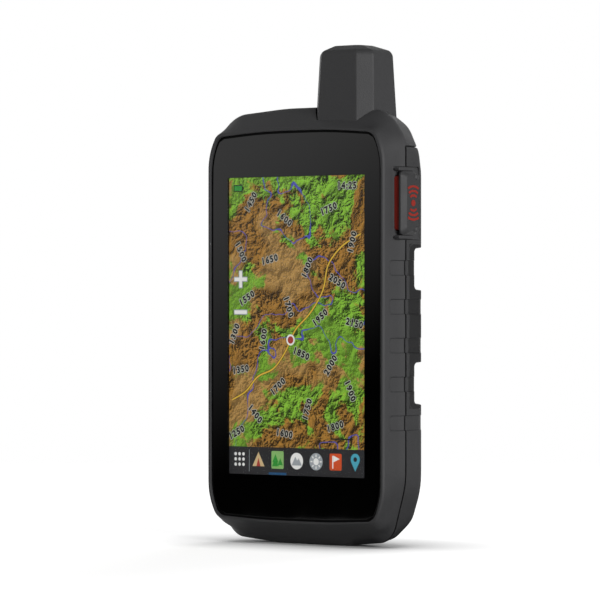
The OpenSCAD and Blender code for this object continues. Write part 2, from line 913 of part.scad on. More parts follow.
ear_z0 = sos_z - sos_cap_h / 2 + sos_wall + 0.2;
ear_z1 = sos_z + sos_cap_h / 2 - sos_wall - 0.2 - sos_ear_t;

module sos_panel() {
    color([0.11, 0.11, 0.11])
        difference() {
            union() {
                intersection() {
                    union() {
                        front_solid(0);
                        rear_solid(0);
                    }
                    sos_window(0);
                }
                sos_ears(ear_z0, sos_ear_t);
                sos_ears(ear_z1, sos_ear_t);
            }
            intersection() {
                sos_key_shape(0.2);
                box(0, 80, 0, 60, 0, 200);
            }
            rod_z(sos_pin_x, sos_pin_d, sos_pin_r + run_gap, ear_z0 - 5, ear_z1 + 5);
        }
}

// Section of the emergency cap, seen from above
module sos_section() {
    polygon([
        [side + 0.8, dy(sos_front)],
        [sos_face - 1.2, dy(sos_front)],
        [sos_face, dy(sos_front + 1.2)],
        [sos_face, dy(sos_pin_d)],
        [sos_pin_x - sos_nose, dy(sos_pin_d)],
        [side + 0.25, dy(part_d)],
        [side - 0.5, dy(part_d - 3)]]);
    translate([sos_pin_x, dy(sos_pin_d)])
        circle(sos_nose);
}

module sos_cap() {
    z0 = sos_z - sos_cap_h / 2;
    inner = sos_cap_h / 2 - sos_wall;
    color([0.1, 0.1, 0.1])
        difference() {
            translate([0, 0, z0])
                linear_extrude(sos_cap_h)
                    sos_section();
            box(0, sos_face - sos_wall, sos_front + 0.5, sos_pin_d - sos_nose, sos_z - inner, sos_z + inner);
            box(0, side + 0.8, sos_front - 2, sos_front + 3, sos_z - inner, sos_z + inner);
            for (z = [ear_z0, ear_z1])
                box(0, sos_face + 5, sos_pin_d - sos_nose - 0.1, sos_pin_d + sos_nose + 1,
                    z - 0.2, z + sos_ear_t + 0.2);
            rod_z(sos_pin_x, sos_pin_d, sos_pin_r + run_gap, z0 - 1, z0 + sos_cap_h + 1);
        }
}

module sos_hinge_pin() {
    color([0.6, 0.6, 0.62])
        rod_z(sos_pin_x, sos_pin_d, sos_pin_r, sos_z - sos_cap_h / 2 + 0.2, sos_z + sos_cap_h / 2 - 0.2);
}

module sos_button() {
    color([0.7, 0.1, 0.06])
        union() {
            intersection() {
                sos_key_shape(0);
                box(sos_in - 0.4, sos_key_x, 0, 60, 0, 200);
            }
            box(sos_in - 1.2, sos_in - 0.2, sos_key_d0 + 0.6, sos_key_d1 + 0.8,
                sos_z - sos_key_h / 2 - 1, sos_z + sos_key_h / 2 + 1);
        }
}

module sos_switch() {
    x1 = sos_in - 1.2 - sos_travel - 0.1;
    color([0.2, 0.2, 0.2])
        union() {
            box(x1 - 4, x1 - 0.8, board_d1, board_d1 + 3, sos_z - 3, sos_z + 3);
            box(x1 - 0.8, x1, board_d1 + 0.8, board_d1 + 2.2, sos_z - 1, sos_z + 1);
        }
}

module power_button() {
    color([0.12, 0.12, 0.12])
        union() {
            left_slab(power_wall_x - 0.4, power_face, power_d, power_z)
                power_shape(0);
            left_slab(power_wall_x - 1.3, power_wall_x - 0.3, power_d, power_z)
                power_shape(1);
        }
}

module power_switch() {
    x1 = power_wall_x - 1.3 - power_travel - 0.1;
    color([0.2, 0.2, 0.2])
        union() {
            box(-x1 + 0.8, -x1 + 4, board_d1, board_d1 + 3, power_z - 3, power_z + 3);
            box(-x1, -x1 + 0.8, board_d1 + 0.8, board_d1 + 2.2, power_z - 1, power_z + 1);
        }
}

module usb_cap() {
    color([0.07, 0.07, 0.07])
        union() {
            intersection() {
                rear_solid(0);
                box(-side - 5, -usb_floor - 0.2, usb_d0 + fit, usb_d1 - fit,
                    usb_pin_z, usb_z + usb_len / 2 - 0.05);
            }
            rod_y(-usb_pin_x, usb_pin_z, usb_nose, usb_d0 + fit, usb_d1 - fit);
            rod_y(-usb_pin_x, usb_pin_z, usb_trunnion, usb_d0 - 0.9, usb_d1 + 0.9);
            box(-usb_floor - 0.3, -usb_floor + 1.6, usb_mid_d - 0.7, usb_mid_d + 0.7,
                usb_z - 3.1, usb_z + 3.1);
        }
}

module usb_socket() {
    color([0.75, 0.75, 0.77])
        difference() {
            union() {
                box(-usb_floor + 0.4, -usb_floor + 8, usb_mid_d - 1.45, usb_mid_d + 1.45,
                    usb_z - 4, usb_z + 4);
                box(-usb_floor + 3, -usb_floor + 8, board_d1, usb_mid_d, usb_z - 4, usb_z + 4);
            }
            box(-usb_floor - 1, -usb_floor + 5.4, usb_mid_d - 1.1, usb_mid_d + 1.1,
                usb_z - 3.6, usb_z + 3.6);
        }
}

module battery_pack() {
    z0 = well_z + pack_gap;
    color([0.2, 0.22, 0.25])
        difference() {
            plate(0, z0 + pack_h / 2, pack_w, pack_h, 2, pack_d0, pack_d1);
            plate(0, z0 + pack_h / 2, pack_w - 6, pack_h - 6, 2, pack_d1 - 0.2, pack_d1 + 1);
        }
}

module battery_contacts() {
    z0 = well_z + pack_gap + pack_h + 0.1;
    color([0.85, 0.68, 0.3])
        for (i = [-1 : 1])
            box(i * 7 - 1, i * 7 + 1, pack_d0 + 6, pack_d0 + 8, z0, well_z1 + 3);
}

module battery_door() {
    zc = (door_z + door_z1) / 2;
    wz = (well_z + well_z1) / 2;
    wh = well_z1 - well_z;
    d0 = back_d + door_gap;
    color([0.13, 0.13, 0.13])
        difference() {
            union() {
                plate(0, zc, door_w, door_h, door_r, d0, body_d - 1.2);
                plate(0, zc, door_w - 1.2, door_h - 1.2, door_r - 0.6, d0, body_d - 0.5);
                plate(0, zc, door_w - 3.4, door_h - 3.4, door_r - 1.7, d0, body_d);
                difference() {
                    plate(0, wz, 2 * well_x - 0.8, wh - 0.8, 1.6, back_d - lip_in, d0);
                    plate(0, wz, 2 * well_x - 0.8 - 2 * lip_t, wh - 0.8 - 2 * lip_t, 0.6, back_d - 5, d0);
                }
                rod_y(0, latch_z, latch_boss_r, latch_boss_d, d0 + 0.5);
                for (i = [-1, 1])
                    rod_y(i * peg_x, peg_z, peg_r, back_d - 2.4, d0 + 0.5);
            }
            rod_y(0, latch_z, recess_r, body_d - recess_in, body_d + 1);
            rod_y(0, latch_z, stud_r + run_gap, 0, body_d + 1);
            difference() {
                plate(0, wz, 2 * well_x + 5, wh + 5, 3.5, d0 - 1, d0 + 0.5);
                plate(0, wz, 2 * well_x + 1.6, wh + 1.6, 1.8, d0 - 2, d0 + 1);
                plate(0, wz, 2 * well_x - 0.8, wh - 0.8, 1.6, d0 - 2, d0 + 1);
            }
        }
}

module door_seal() {
    wz = (well_z + well_z1) / 2;
    wh = well_z1 - well_z;
    color([0.05, 0.05, 0.05])
        difference() {
            plate(0, wz, 2 * well_x + 4.8, wh + 4.8, 3.4, back_d, back_d + door_gap + 0.5);
            plate(0, wz, 2 * well_x + 1.8, wh + 1.8, 1.9, back_d - 1, back_d + 5);
        }
}

module latch_stud() {
    color([0.72, 0.73, 0.75])
        difference() {
            union() {
                rod_y(0, latch_z, 5, body_d - recess_in + 0.1, body_d - 0.2);
                rod_y(0, latch_z, stud_r, latch_boss_d - 0.1, body_d - recess_in + 0.2);
                rod_y(0, latch_z, neck_r, tee_d1 - 0.5, latch_boss_d);
                rod_y(0, latch_z, neck_r + 0.4, tee_d1 - tee_t, tee_d1 - tee_t + 0.8);
                box(-neck_r, neck_r, tee_d1 - tee_t, tee_d1, latch_z - tee_l, latch_z + tee_l);
            }
            rod_x(bar_d, latch_z, wire_r + run_gap, -9, 9);
        }
}

module latch_clip() {
    color([0.5, 0.5, 0.52])
        difference() {
            rod_y(0, latch_z, 5, latch_boss_d - 0.15 - clip_t, latch_boss_d - 0.15);
            rod_y(0, latch_z, neck_r + 0.02, 0, 60);
            box(-neck_r + 0.3, neck_r - 0.3, 0, 60, latch_z, latch_z + 9);
        }
}

module d_ring() {
    color([0.78, 0.79, 0.81])
        translate([0, dy(bar_d), latch_z])
            union() {
                rotate([90, 0, 0])
                    rotate([0, 0, 180])
                        rotate_extrude(angle = 180)
                            translate([ring_r, 0])
                                circle(wire_r);
                translate([-ring_r, 0, 0])
                    rotate([0, 90, 0])
                        cylinder(r = wire_r, h = 2 * ring_r);
                for (i = [-1, 1])
                    translate([i * ring_r, 0, 0])
                        sphere(wire_r);
            }
}

module keeper_spring() {
    color([0.6, 0.61, 0.63])
        union() {
            for (i = [-1, 1])
                rod_x(wire_d, latch_z + i * wire_z, pin_r, -pin_end, pin_end);
            translate([-pin_end, dy(wire_d), latch_z])
                rotate([90, 0, 0])
                    rotate([0, 0, 90])
                        rotate_extrude(angle = 180)
                            translate([wire_z, 0])
                                circle(pin_r);
        }
}

module camera_bezel() {
    color([0.3, 0.3, 0.32])
        difference() {
            rod_y(camera_at[0], camera_at[1], camera_r + 1, back_d - 1.3, back_d + 0.4);
            rod_y(camera_at[0], camera_at[1], camera_r - 0.6, back_d - 3, back_d + 3);
            rod_y(camera_at[0], camera_at[1], camera_r + 0.1, back_d - 0.7, back_d + 3);
        }
}

module camera_window() {
    color([0.1, 0.1, 0.14])
        rod_y(camera_at[0], camera_at[1], camera_r, back_d - 0.65, back_d + 0.1);
}

module camera_module() {
    color([0.06, 0.06, 0.06])
        difference() {
            union() {
                rod_y(camera_at[0], camera_at[1], camera_r - 0.1, back_d - 9, back_d - 3.4);
                rod_y(camera_at[0], camera_at[1], camera_r - 1, back_d - 3.5, back_d - 1.7);
            }
            rod_y(camera_at[0], camera_at[1], 1.6, back_d - 2.6, back_d);
        }
}

module flash_lens() {
    color([0.9, 0.9, 0.85])
        union() {
            rod_y(flash_at[0], flash_at[1], flash_r + 0.6, back_d - 1.1, back_d + 0.1);
            rod_y(flash_at[0], flash_at[1], flash_r - 0.1, back_d - 4, back_d - 1.1);
        }
}

module pressure_vent() {
    color([0.2, 0.2, 0.2])
        rod_y(vent_at[0], vent_at[1], vent_r - 0.1, back_d - 0.9, back_d - 0.2);
}

module contact_block() {
    color([0.08, 0.08, 0.08])
        difference() {
            plate(0, contacts_z, contacts_w, contacts_h, 1.05, back_d - 3.4, back_d - 0.3);
            for (i = [0 : pad_n - 1])
                rod_y((i - (pad_n - 1) / 2) * pad_pitch, contacts_z, 1.35, back_d - 9, back_d + 1);
        }
}

module mount_contacts() {
    color([0.86, 0.7, 0.32])
        for (i = [0 : pad_n - 1])
            rod_y((i - (pad_n - 1) / 2) * pad_pitch, contacts_z, 1.3, back_d - 5, back_d - 0.4);
}

module antenna_port_cap() {
    x0 = port_at[0] - port_w / 2;
    x1 = port_at[0] + port_w / 2;
    color([0.07, 0.07, 0.07])
        union() {
            box(x0 + fit, x1 - fit, port_floor + 0.2, back_d, port_pin_z, port_at[1] + port_h / 2 - 1.5);
            box(x0 + 1.5, x1 - 1.5, port_floor + 0.2, back_d, port_pin_z, port_at[1] + port_h / 2 - 0.2);
            rod_x(port_pin_d, port_pin_z, port_nose, x0 + fit, x1 - fit);
            rod_x(port_pin_d, port_pin_z, usb_trunnion, x0 - 0.9, x1 + 0.9);
            rod_y(port_at[0], port_at[1] + 2, 1.4, port_floor - 1.2, port_floor + 0.4);
        }
}

module antenna_port() {
    color([0.85, 0.7, 0.35])
        difference() {
            union() {
                rod_y(port_at[0], port_at[1] + 2, 3, port_block - 1.6, port_floor - 0.1);
                rod_y(port_at[0], port_at[1] + 2, 4, port_block - 2.8, port_block - 0.1);
            }
            rod_y(port_at[0], port_at[1] + 2, 1.9, port_block + 0.6, port_floor + 3);
        }
}

front_frame();
rear_housing();
cover_glass();
glass_gasket();
display_panel();
display_tray();
display_flex();
main_board();
board_shields();
board_screws();
beeper();
card_holder();
memory_card();
case_seal();
case_screws();
thread_inserts();
antenna_cover();
antenna_gasket();
antenna_core();
antenna_winding();
antenna_lead();
sos_panel();
sos_cap();
sos_hinge_pin();
sos_button();
sos_switch();
power_button();
power_switch();
usb_cap();
usb_socket();
battery_pack();
battery_contacts();
battery_door();
door_seal();
latch_stud();
latch_clip();
d_ring();
keeper_spring();
camera_bezel();
camera_window();
camera_module();
flash_lens();
pressure_vent();
contact_block();
mount_contacts();
antenna_port_cap();
antenna_port();
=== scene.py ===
"""Looks of a sealed handheld navigator: smooth shells, glass, lit map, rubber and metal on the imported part."""

import json
import math

import bmesh
import bpy
import numpy as np
from mathutils import Matrix, Vector


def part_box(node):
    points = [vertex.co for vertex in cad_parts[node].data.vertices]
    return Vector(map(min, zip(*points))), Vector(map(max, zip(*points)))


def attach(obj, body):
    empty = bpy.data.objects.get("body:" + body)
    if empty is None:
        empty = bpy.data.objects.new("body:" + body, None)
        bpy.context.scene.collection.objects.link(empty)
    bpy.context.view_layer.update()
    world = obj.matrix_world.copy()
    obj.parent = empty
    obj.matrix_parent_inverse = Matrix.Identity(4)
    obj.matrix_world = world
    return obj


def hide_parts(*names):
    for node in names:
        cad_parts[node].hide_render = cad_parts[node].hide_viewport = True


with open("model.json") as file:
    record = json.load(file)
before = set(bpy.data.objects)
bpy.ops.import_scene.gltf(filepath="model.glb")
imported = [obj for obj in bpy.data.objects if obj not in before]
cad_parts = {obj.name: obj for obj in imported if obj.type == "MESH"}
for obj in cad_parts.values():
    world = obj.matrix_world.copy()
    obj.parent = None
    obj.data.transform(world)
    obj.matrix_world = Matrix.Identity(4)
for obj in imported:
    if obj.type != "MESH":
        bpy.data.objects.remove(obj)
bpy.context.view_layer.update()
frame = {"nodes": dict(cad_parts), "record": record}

bl_info = {
    "name": "Handheld Navigator",
    "version": (1, 0, 0),
    "blender": (4, 5, 0),
    "location": "View3D > Sidebar > Navigator",
    "description": "Builds the shells, screen, antenna, controls and fittings of a handheld navigator",
    "category": "Object",
}

MM = 0.001
RIM_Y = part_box("front_frame")[0].y / MM


def span(node):
    """Lowest and highest corner of a CAD node in millimetres, as (x, depth behind the rim, z)."""
    return [np.array([c.x / MM, c.y / MM - RIM_Y, c.z / MM]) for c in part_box(node)]


# Driving sizes in millimetres, read from the frame
FRAME_HI = span("front_frame")[1]
REAR_LO, REAR_HI = span("rear_housing")
GLASS_LO, GLASS_HI = span("cover_glass")
PANEL_LO, PANEL_HI = span("display_panel")
STUB_LO, STUB_HI = span("antenna_cover")
SOS_LO, SOS_HI = span("sos_panel")
CAP_LO, CAP_HI = span("sos_cap")
PIN_LO, PIN_HI = span("sos_hinge_pin")
DOOR_LO, DOOR_HI = span("battery_door")
SEAL_LO, SEAL_HI = span("case_seal")
PACK_LO, PACK_HI = span("battery_pack")
STUD_LO, STUD_HI = span("latch_stud")
SIDE = FRAME_HI[0]
BODY_H = FRAME_HI[2]
BACK_D = REAR_HI[1]
PART_D = SEAL_LO[1]
SEAM = REAR_LO[1] - PART_D
CAP_Z = SEAL_HI[2]
LATCH_Z = (STUD_LO[2] + STUD_HI[2]) / 2

# Cutters reach past the object: to either side, ahead, behind, below and above
FAR_X, AHEAD, BEHIND, BELOW, ABOVE = 80, -20, 80, -30, 260

# Rim, glass pocket, parting line and rear slope of the shells
FIT = 0.15
EDGE_CUT = 7.6
SIDE_D = BACK_D - EDGE_CUT - 0.7
FLAT_IN = 5.6
GLASS_HALF = GLASS_HI[0]
GLASS_Z0, GLASS_Z1 = GLASS_LO[2], GLASS_HI[2]
GLASS_GAP = 0.7
LEDGE_D = GLASS_HI[1] + 0.3
LIP, LIP_ROUND, LIP_CUT = 2.05, 0.6, 0.22
BROW_D = PART_D - 2.6
CHEEK = 0.6
CORNER_X, CORNER_Z, CORNER_FULL = 37, 6, 0.5
CAP_LINE_IN = 0.35

# Outlines of the body, as right halves of (x, z, radius) corners from foot to top
BODY = ((15, 0, 60), (SIDE - 9.6, 1.7, 8), (SIDE - 5.3, 5.2, 8), (SIDE, 23, 30),
        (SIDE, BODY_H - 12.5, 12), (SIDE - 8.2, BODY_H - 1.8, 14), (10, BODY_H, 120))
BROW = ((15, 1.4, 60), (SIDE - 11.2, 3.3, 8), (SIDE - 4.6, 7.6, 8), (SIDE - 0.9, 23, 30),
        (SIDE - 0.9, BODY_H - 12.6, 12), (SIDE - 8.9, BODY_H - 1.9, 14), (10, BODY_H, 120))
REAR = ((14, 0, 30), (SIDE - 13.4, 2.4, 10), (SIDE - 5.3, 9.2, 9), (SIDE - 1.1, 21, 30),
        (SIDE - 1.1, BODY_H - 24, 20), (SIDE - 2.2, BODY_H - 16.4, 12), (SIDE - 6.7, BODY_H - 7.6, 10),
        (SIDE - 16.5, BODY_H - 1.2, 12), (10, BODY_H - 0.8, 80))
GLASS = ((GLASS_HALF - 23.7, GLASS_Z0, 250), (GLASS_HALF - 3.1, GLASS_Z0 + 1, 4),
         (GLASS_HALF, GLASS_Z0 + 9.1, 25), (GLASS_HALF, GLASS_Z1 - 9.4, 25),
         (GLASS_HALF - 3.3, GLASS_Z1 - 1.5, 4), (GLASS_HALF - 23.7, GLASS_Z1, 250))
LIPS = ((GLASS_HALF - 23.7, GLASS_Z0, 250), (GLASS_HALF - 3.5, GLASS_Z0 + 1.2, 3.2),
        (GLASS_HALF, GLASS_Z0 + 7.4, 20), (GLASS_HALF, GLASS_Z1 - 7.8, 20),
        (GLASS_HALF - 3.3, GLASS_Z1 - 1.5, 2), (GLASS_HALF - 23.7, GLASS_Z1, 250))

# Stretch of the sides that is drawn level by level
SIDE_Z0, SIDE_Z1 = 30.0, 137.0
# Only points this far out from the middle belong to a side
SIDE_X0 = 30

# Grip bands, cradle notches and the shallow pocket that holds the notches
BAND_N, BAND_Z, BAND_H, BAND_D0, BAND_ROUND, BAND_SOFT = 5, 44.6, 5.3, 3.0, 1.1, 0.24
BAND_PITCH = (SOS_LO[2] - 10.1 - BAND_Z) / (BAND_N - 1)
BAND_D1 = SIDE_D + 3
NOTCH_Z, NOTCH_H, NOTCH_D, NOTCH_ROUND, NOTCH_SOFT = 58.6, 14.8, 15.0, 2.6, 0.6
NOTCH_PITCH = SOS_LO[2] - 10.4 - NOTCH_Z
POCKET_D = NOTCH_D - 3.1
POCKET_STEP, POCKET_ROUND, POCKET_SOFT = 0.35, 3, 0.4
POCKET_SLOPE = math.tan(math.radians(12.7)) - POCKET_STEP / 10
POCKET_Z0, POCKET_Z1 = NOTCH_Z - NOTCH_H / 2 - 1.5, NOTCH_Z + NOTCH_PITCH + NOTCH_H / 2 + 1.5
# Pocket and notches run out of the back, so their outlines end well behind it
OPEN_END = 60

# Stub antenna: front corner cuts, and how far each side (left, right, front, rear) leans at the top
STUB_CUT = 4.6
STUB_LEAN = np.array([1.6, -0.4, 0.35, -2.0])

# Emergency cap: height of its mark, hinge pin, plugs over the pin's ends and the cap's own end walls
MARK_H = 0.12
PIN_AT = (PIN_LO + PIN_HI)[:2] / 2
PIN_R = (PIN_HI[0] - PIN_LO[0]) / 2
PLUG, CAP_WALL = 1.6, 0.8
GUARD_UP = 1.1

# Battery door: where its crowned plate begins, the dished recess round the latch, and its two pegs
DOOR_SPLIT = DOOR_HI[1] - 3.68
DISH_R, STUD_BORE_R = 12.8, 3.15
PEG_X, PEG_Z, PEG_R = 18.0, DOOR_HI[2] - 3.4, 1.4

# Case screws: place from the middle and the ends, and the hole round a head
SCREW_X, SCREW_IN, SCREW_HOLE_R = 25, 2.2, 2.4

# Lit part of the display, its icon bar and its digits
SCREEN_X = PANEL_HI[0] - 1.2
SCREEN_Z0, SCREEN_Z1 = PANEL_LO[2] + 1.2, PANEL_HI[2] - 1.2
PANE_LAP = 0.03
BAR_H = 10.0
ICON_PITCH = 9.15
DIGIT_H, DIGIT_SWELL, HALO = 3.3, 0.17, 0.19
INK_THICK = 0.006
# Heights written on the map: x, z, turn in degrees and the number
HEIGHTS = (
    (-22, 124, 58, "1450"), (-6, 118, -35, "1600"), (15, 121, 20, "1750"), (26, 109, 75, "1900"),
    (-27, 106, -62, "1500"), (-13, 103, 12, "1650"), (5, 100, 64, "1800"), (19, 95, -28, "2050"),
    (-24, 89, 30, "1550"), (-4, 86, -70, "1700"), (11, 82, 38, "1950"), (27, 80, -12, "2150"),
    (-16, 74, 80, "1600"), (2, 69, -20, "1850"), (-27, 63, 8, "1350"), (16, 65, 55, "2000"),
    (-9, 57, 40, "1700"), (25, 56, -66, "1900"), (-20, 47, -45, "1400"), (5, 49, 72, "1750"),
    (18, 43, 15, "1800"), (-30, 76, 66, "1300"), (-29, 40, 25, "1250"), (-6, 40, -8, "1600"))
CLOCK = (23.5, 129.2, 0, "14:25")
# The route over the map, as (x, z) points
ROUTE = ((-31, 52), (-24, 55), (-19, 61), (-11, 63), (-5, 70), (-1, 78), (6, 83), (13, 92), (14, 101),
         (21, 108), (30, 112))

# Stage, in metres: half of the floor's side, and the camera fitted to the photograph
FLOOR_REACH = 1.6
CAMERA_AT = (953.4 * MM, -1127.5 * MM, 86.6 * MM)
CAMERA_TURN, CAMERA_TILT = math.radians(40.5064), math.radians(-0.0709)
CAMERA_SENSOR, CAMERA_LENS = 36, 243.9
LAMP_AIM = Vector((0, 0, 85 * MM))
WHITE = (1, 1, 1, 1)


def linear(hex_colour):
    """An sRGB hex colour as linear red, green and blue."""
    parts = [int(hex_colour[i:i + 2], 16) / 255 for i in (1, 3, 5)]
    return [c / 12.92 if c <= 0.04045 else ((c + 0.055) / 1.055) ** 2.4 for c in parts]


def colour(name, text, default):
    """A colour property with its default given as sRGB hex."""
    return bpy.props.FloatVectorProperty(name=name, description=text, subtype="COLOR", size=3,
                                         min=0, max=1, default=linear(default))


def length(name, text, default):
    """A length property with its default given in millimetres."""
    return bpy.props.FloatProperty(name=name, description=text, default=default * MM, min=0,
                                   subtype="DISTANCE", unit="LENGTH", precision=5)


def power(name, text, default):
    """A lamp's power property in watts."""
    return bpy.props.FloatProperty(name=name, description=text, default=default, min=0, subtype="POWER",
                                   unit="POWER")


def fraction(name, text, default):
    """A property that is a plain factor."""
    return bpy.props.FloatProperty(name=name, description=text, default=default, min=0, subtype="FACTOR")


class NavigatorSizes(bpy.types.PropertyGroup):
    """Sizes that change the character of the shells."""
    band_in: length("Band depth", "Depth of the shallow grip bands", 0.55)
    groove: length("Seam lip", "Depth of the open line between the shells", 1.4)
    edge_round: length("Rear edge", "Bend between the side and the slope to the back", 1.6)
    back_round: length("Back edge", "Bend between the slope and the flat back", 1.2)
    grain: length("Plastic grain", "Pit size of the spark-eroded texture, drawn coarse enough to show", 0.45)
    contour: length("Map relief", "Size of a hill on the lit map", 15)


class NavigatorColours(bpy.types.PropertyGroup):
    """Colours of the visible finishes."""
    shell: colour("Shell", "Front frame plastic", "#383839")
    rear: colour("Rear shell", "Rear housing plastic", "#363637")
    # Painted shade: the cradle pocket and the line between the shells are drawn much darker than the shells
    pocket: colour("Pocket and seam, painted shade", "Smooth pocket in the rear housing", "#161617")
    stub: colour("Antenna", "Antenna cover plastic", "#373738")
    cap: colour("Emergency cap", "Cap plastic", "#333334")
    alert: colour("Emergency red", "Button rubber and the mark on the cap", "#85261d")
    rubber: colour("Rubber", "Flaps, keys and seals", "#171718")
    ink: colour("Glass print", "Black ink behind the glass", "#030303")
    wood: colour("Map woods", "Wooded slopes on the map", "#6a962c")
    earth: colour("Map earth", "Bare slopes on the map", "#845f26")
    plain: colour("Map plains", "Open plains on the map", "#9c7a44")
    water: colour("Map water", "Streams on the map", "#4b4fa8")


class NavigatorStage(bpy.types.PropertyGroup):
    """Light and floor."""
    key_power: power("Key light", "Power of the large lamp at the right", 27.0)
    rear_power: power("Rear light", "Power of the lamp behind", 15.0)
    left_power: power("Left light", "Power of the weak lamp at the left", 5.6)
    ambient: fraction("Room light", "Even light from all round", 0.26)
    floor: colour("Floor", "Pale floor", "#d8d8d8")
    floor_lift: fraction("Floor white", "Glow that brings the lit floor up to white", 0.7)


def row_point(x, d, z):
    """A point of the row frame in metres, from millimetres and depth behind the rim."""
    return (x * MM, (d + RIM_Y) * MM, z * MM)


def outline(corners, grow=0.0):
    """Right half of a closed rounded outline from foot to top, moved outward by grow."""
    half = np.array(corners, float)
    loop = np.vstack([half, half[::-1] * (-1, 1, 1)])
    p, radius = loop[:, :2], np.maximum(loop[:, 2] + grow, 0.4)
    edge = np.roll(p, -1, 0) - p
    edge /= np.linalg.norm(edge, axis=1)[:, None]
    out = np.stack([edge[:, 1], -edge[:, 0]], 1)
    before = np.roll(out, 1, 0)
    p = p + grow * (out + before) / (1 + (out * before).sum(1))[:, None]
    points = [(0, p[0, 1])]
    for i in range(len(half)):
        u, w = p[i - 1] - p[i], p[i + 1] - p[i]
        u, w = u / np.linalg.norm(u), w / np.linalg.norm(w)
        half_angle = math.acos(np.clip(u @ w, -1, 1)) / 2
        turn = math.pi - 2 * half_angle
        centre = p[i] + (u + w) / np.linalg.norm(u + w) * radius[i] / math.sin(half_angle)
        start, end = (p[i] + v * radius[i] / math.tan(half_angle) - centre for v in (u, w))
        steps = max(3, math.ceil(turn / math.radians(2.5)))
        for s in np.linspace(0, 1, steps + 1):
            arm = (start * math.sin((1 - s) * turn) + end * math.sin(s * turn)) / math.sin(turn)
            points.append(centre + arm)
    points.append((0, p[len(half) - 1, 1]))
    return np.array(points)


def side_levels():
    """Heights of the grid lines up a side, close together at the edges of bands, notches and pocket."""
    edges = [POCKET_Z0, POCKET_Z1]
    edges += [BAND_Z + i * BAND_PITCH + s * BAND_H / 2 for i in range(BAND_N) for s in (-1, 1)]
    edges += [NOTCH_Z + i * NOTCH_PITCH + s * NOTCH_H / 2 for i in (0, 1) for s in (-1, 1)]
    near = (-0.75, -0.5, -0.34, -0.2, -0.1, 0, 0.1, 0.2, 0.34, 0.5, 0.75)
    levels = {round(e + n, 3) for e in edges for n in near} | {SIDE_Z0, SIDE_Z1}
    for middle in (NOTCH_Z, NOTCH_Z + NOTCH_PITCH):
        levels |= {round(middle + s * (NOTCH_H / 2 - n), 3) for s in (-1, 1) for n in np.arange(1, 3, 0.25)}
    levels = sorted(levels)
    filled = []
    for a, b in zip(levels, levels[1:]):
        filled += list(np.linspace(a, b, max(1, math.ceil((b - a) / 2.5)) + 1)[:-1])
    return np.array(filled + [SIDE_Z1])


LEVELS = side_levels()
FOOT_SHARES = np.linspace(0, 1, 76)[:-1]
TOP_SHARES = np.linspace(0, 1, 96)[1:]


def ring(corners, grow=0.0, coarse=False):
    """An outline at the shared stations: level by level up the sides, by share of length over foot and top."""
    half = outline(corners, grow)
    along = np.concatenate([[0], np.cumsum(np.linalg.norm(np.diff(half, axis=0), axis=1))])
    low, high = np.interp((SIDE_Z0, SIDE_Z1), half[:, 1], along)
    levels = np.interp(np.linspace(SIDE_Z0, SIDE_Z1, 12) if coarse else LEVELS, half[:, 1], along)
    step = 5 if coarse else 1
    foot = FOOT_SHARES[::step] * low
    top = high + TOP_SHARES[::-step][::-1] * (along[-1] - high)
    at = np.concatenate([foot, levels, top])
    right = np.stack([np.interp(at, along, half[:, 0]), np.interp(at, along, half[:, 1])], 1)
    return np.vstack([right, right[-2:0:-1] * (-1, 1)])


def inward(points, amount):
    """A ring moved in along its own normals."""
    tangent = np.roll(points, -1, 0) - np.roll(points, 1, 0)
    tangent /= np.linalg.norm(tangent, axis=1)[:, None]
    return points - np.stack([tangent[:, 1], -tangent[:, 0]], 1) * np.reshape(amount, (-1, 1))


def at_depth(points, d):
    """A ring of (x, z) points set at one depth."""
    return np.stack([points[:, 0], np.full(len(points), float(d)), points[:, 1]], 1)


def on_side(points, x):
    """A ring of (depth, z) points set at one distance to the side."""
    return np.stack([np.full(len(points), float(x)), points[:, 0], points[:, 1]], 1)


def bent(corners, steps=5):
    """Rows of points along a profile. Each corner is (ring, trim, cuts): the bend eats trim off both legs,
    and the straight leg that follows is cut at the given number of even places."""
    rings = [c[0] for c in corners]
    rows, last = [rings[0]], rings[0]
    for i in range(1, len(rings)):
        here, cuts = rings[i], corners[i - 1][2]
        enter = leave = here
        if i < len(rings) - 1 and corners[i][1] > 0:
            back, ahead = rings[i - 1] - here, rings[i + 1] - here
            reach = [np.maximum(np.linalg.norm(v, axis=1), 1e-6)[:, None] for v in (back, ahead)]
            trim = np.minimum(corners[i][1], 0.45 * np.minimum(*reach))
            enter, leave = here + back / reach[0] * trim, here + ahead / reach[1] * trim
        rows += [last + (enter - last) * s for s in np.linspace(0, 1, cuts + 2)[1:]]
        if leave is not enter:
            rows += [(1 - s) ** 2 * enter + 2 * s * (1 - s) * here + s * s * leave
                     for s in np.linspace(0, 1, steps)[1:]]
        last = leave
    return rows


def skin(name, *lofts):
    """A mesh object of one or more closed forms, each through rows of points with both ends capped."""
    points, faces, first = [], [], 0
    for rows in lofts:
        count = len(rows[0])
        k = np.arange(count)
        nxt = (k + 1) % count
        for i in range(len(rows) - 1):
            a, b = first + i * count, first + (i + 1) * count
            faces += np.stack([a + k, b + k, b + nxt, a + nxt], 1).tolist()
        faces += [(k + first).tolist(), (k[::-1] + first + (len(rows) - 1) * count).tolist()]
        points += rows
        first += len(rows) * count
    points = np.vstack(points) * MM
    points[:, 1] += RIM_Y * MM
    mesh = bpy.data.meshes.new(name)
    mesh.from_pydata(points.tolist(), [], faces)
    work = bmesh.new()
    work.from_mesh(mesh)
    bmesh.ops.recalc_face_normals(work, faces=work.faces)
    work.to_mesh(mesh)
    work.free()
    piece = bpy.data.objects.new(name, mesh)
    bpy.context.scene.collection.objects.link(piece)
    return piece


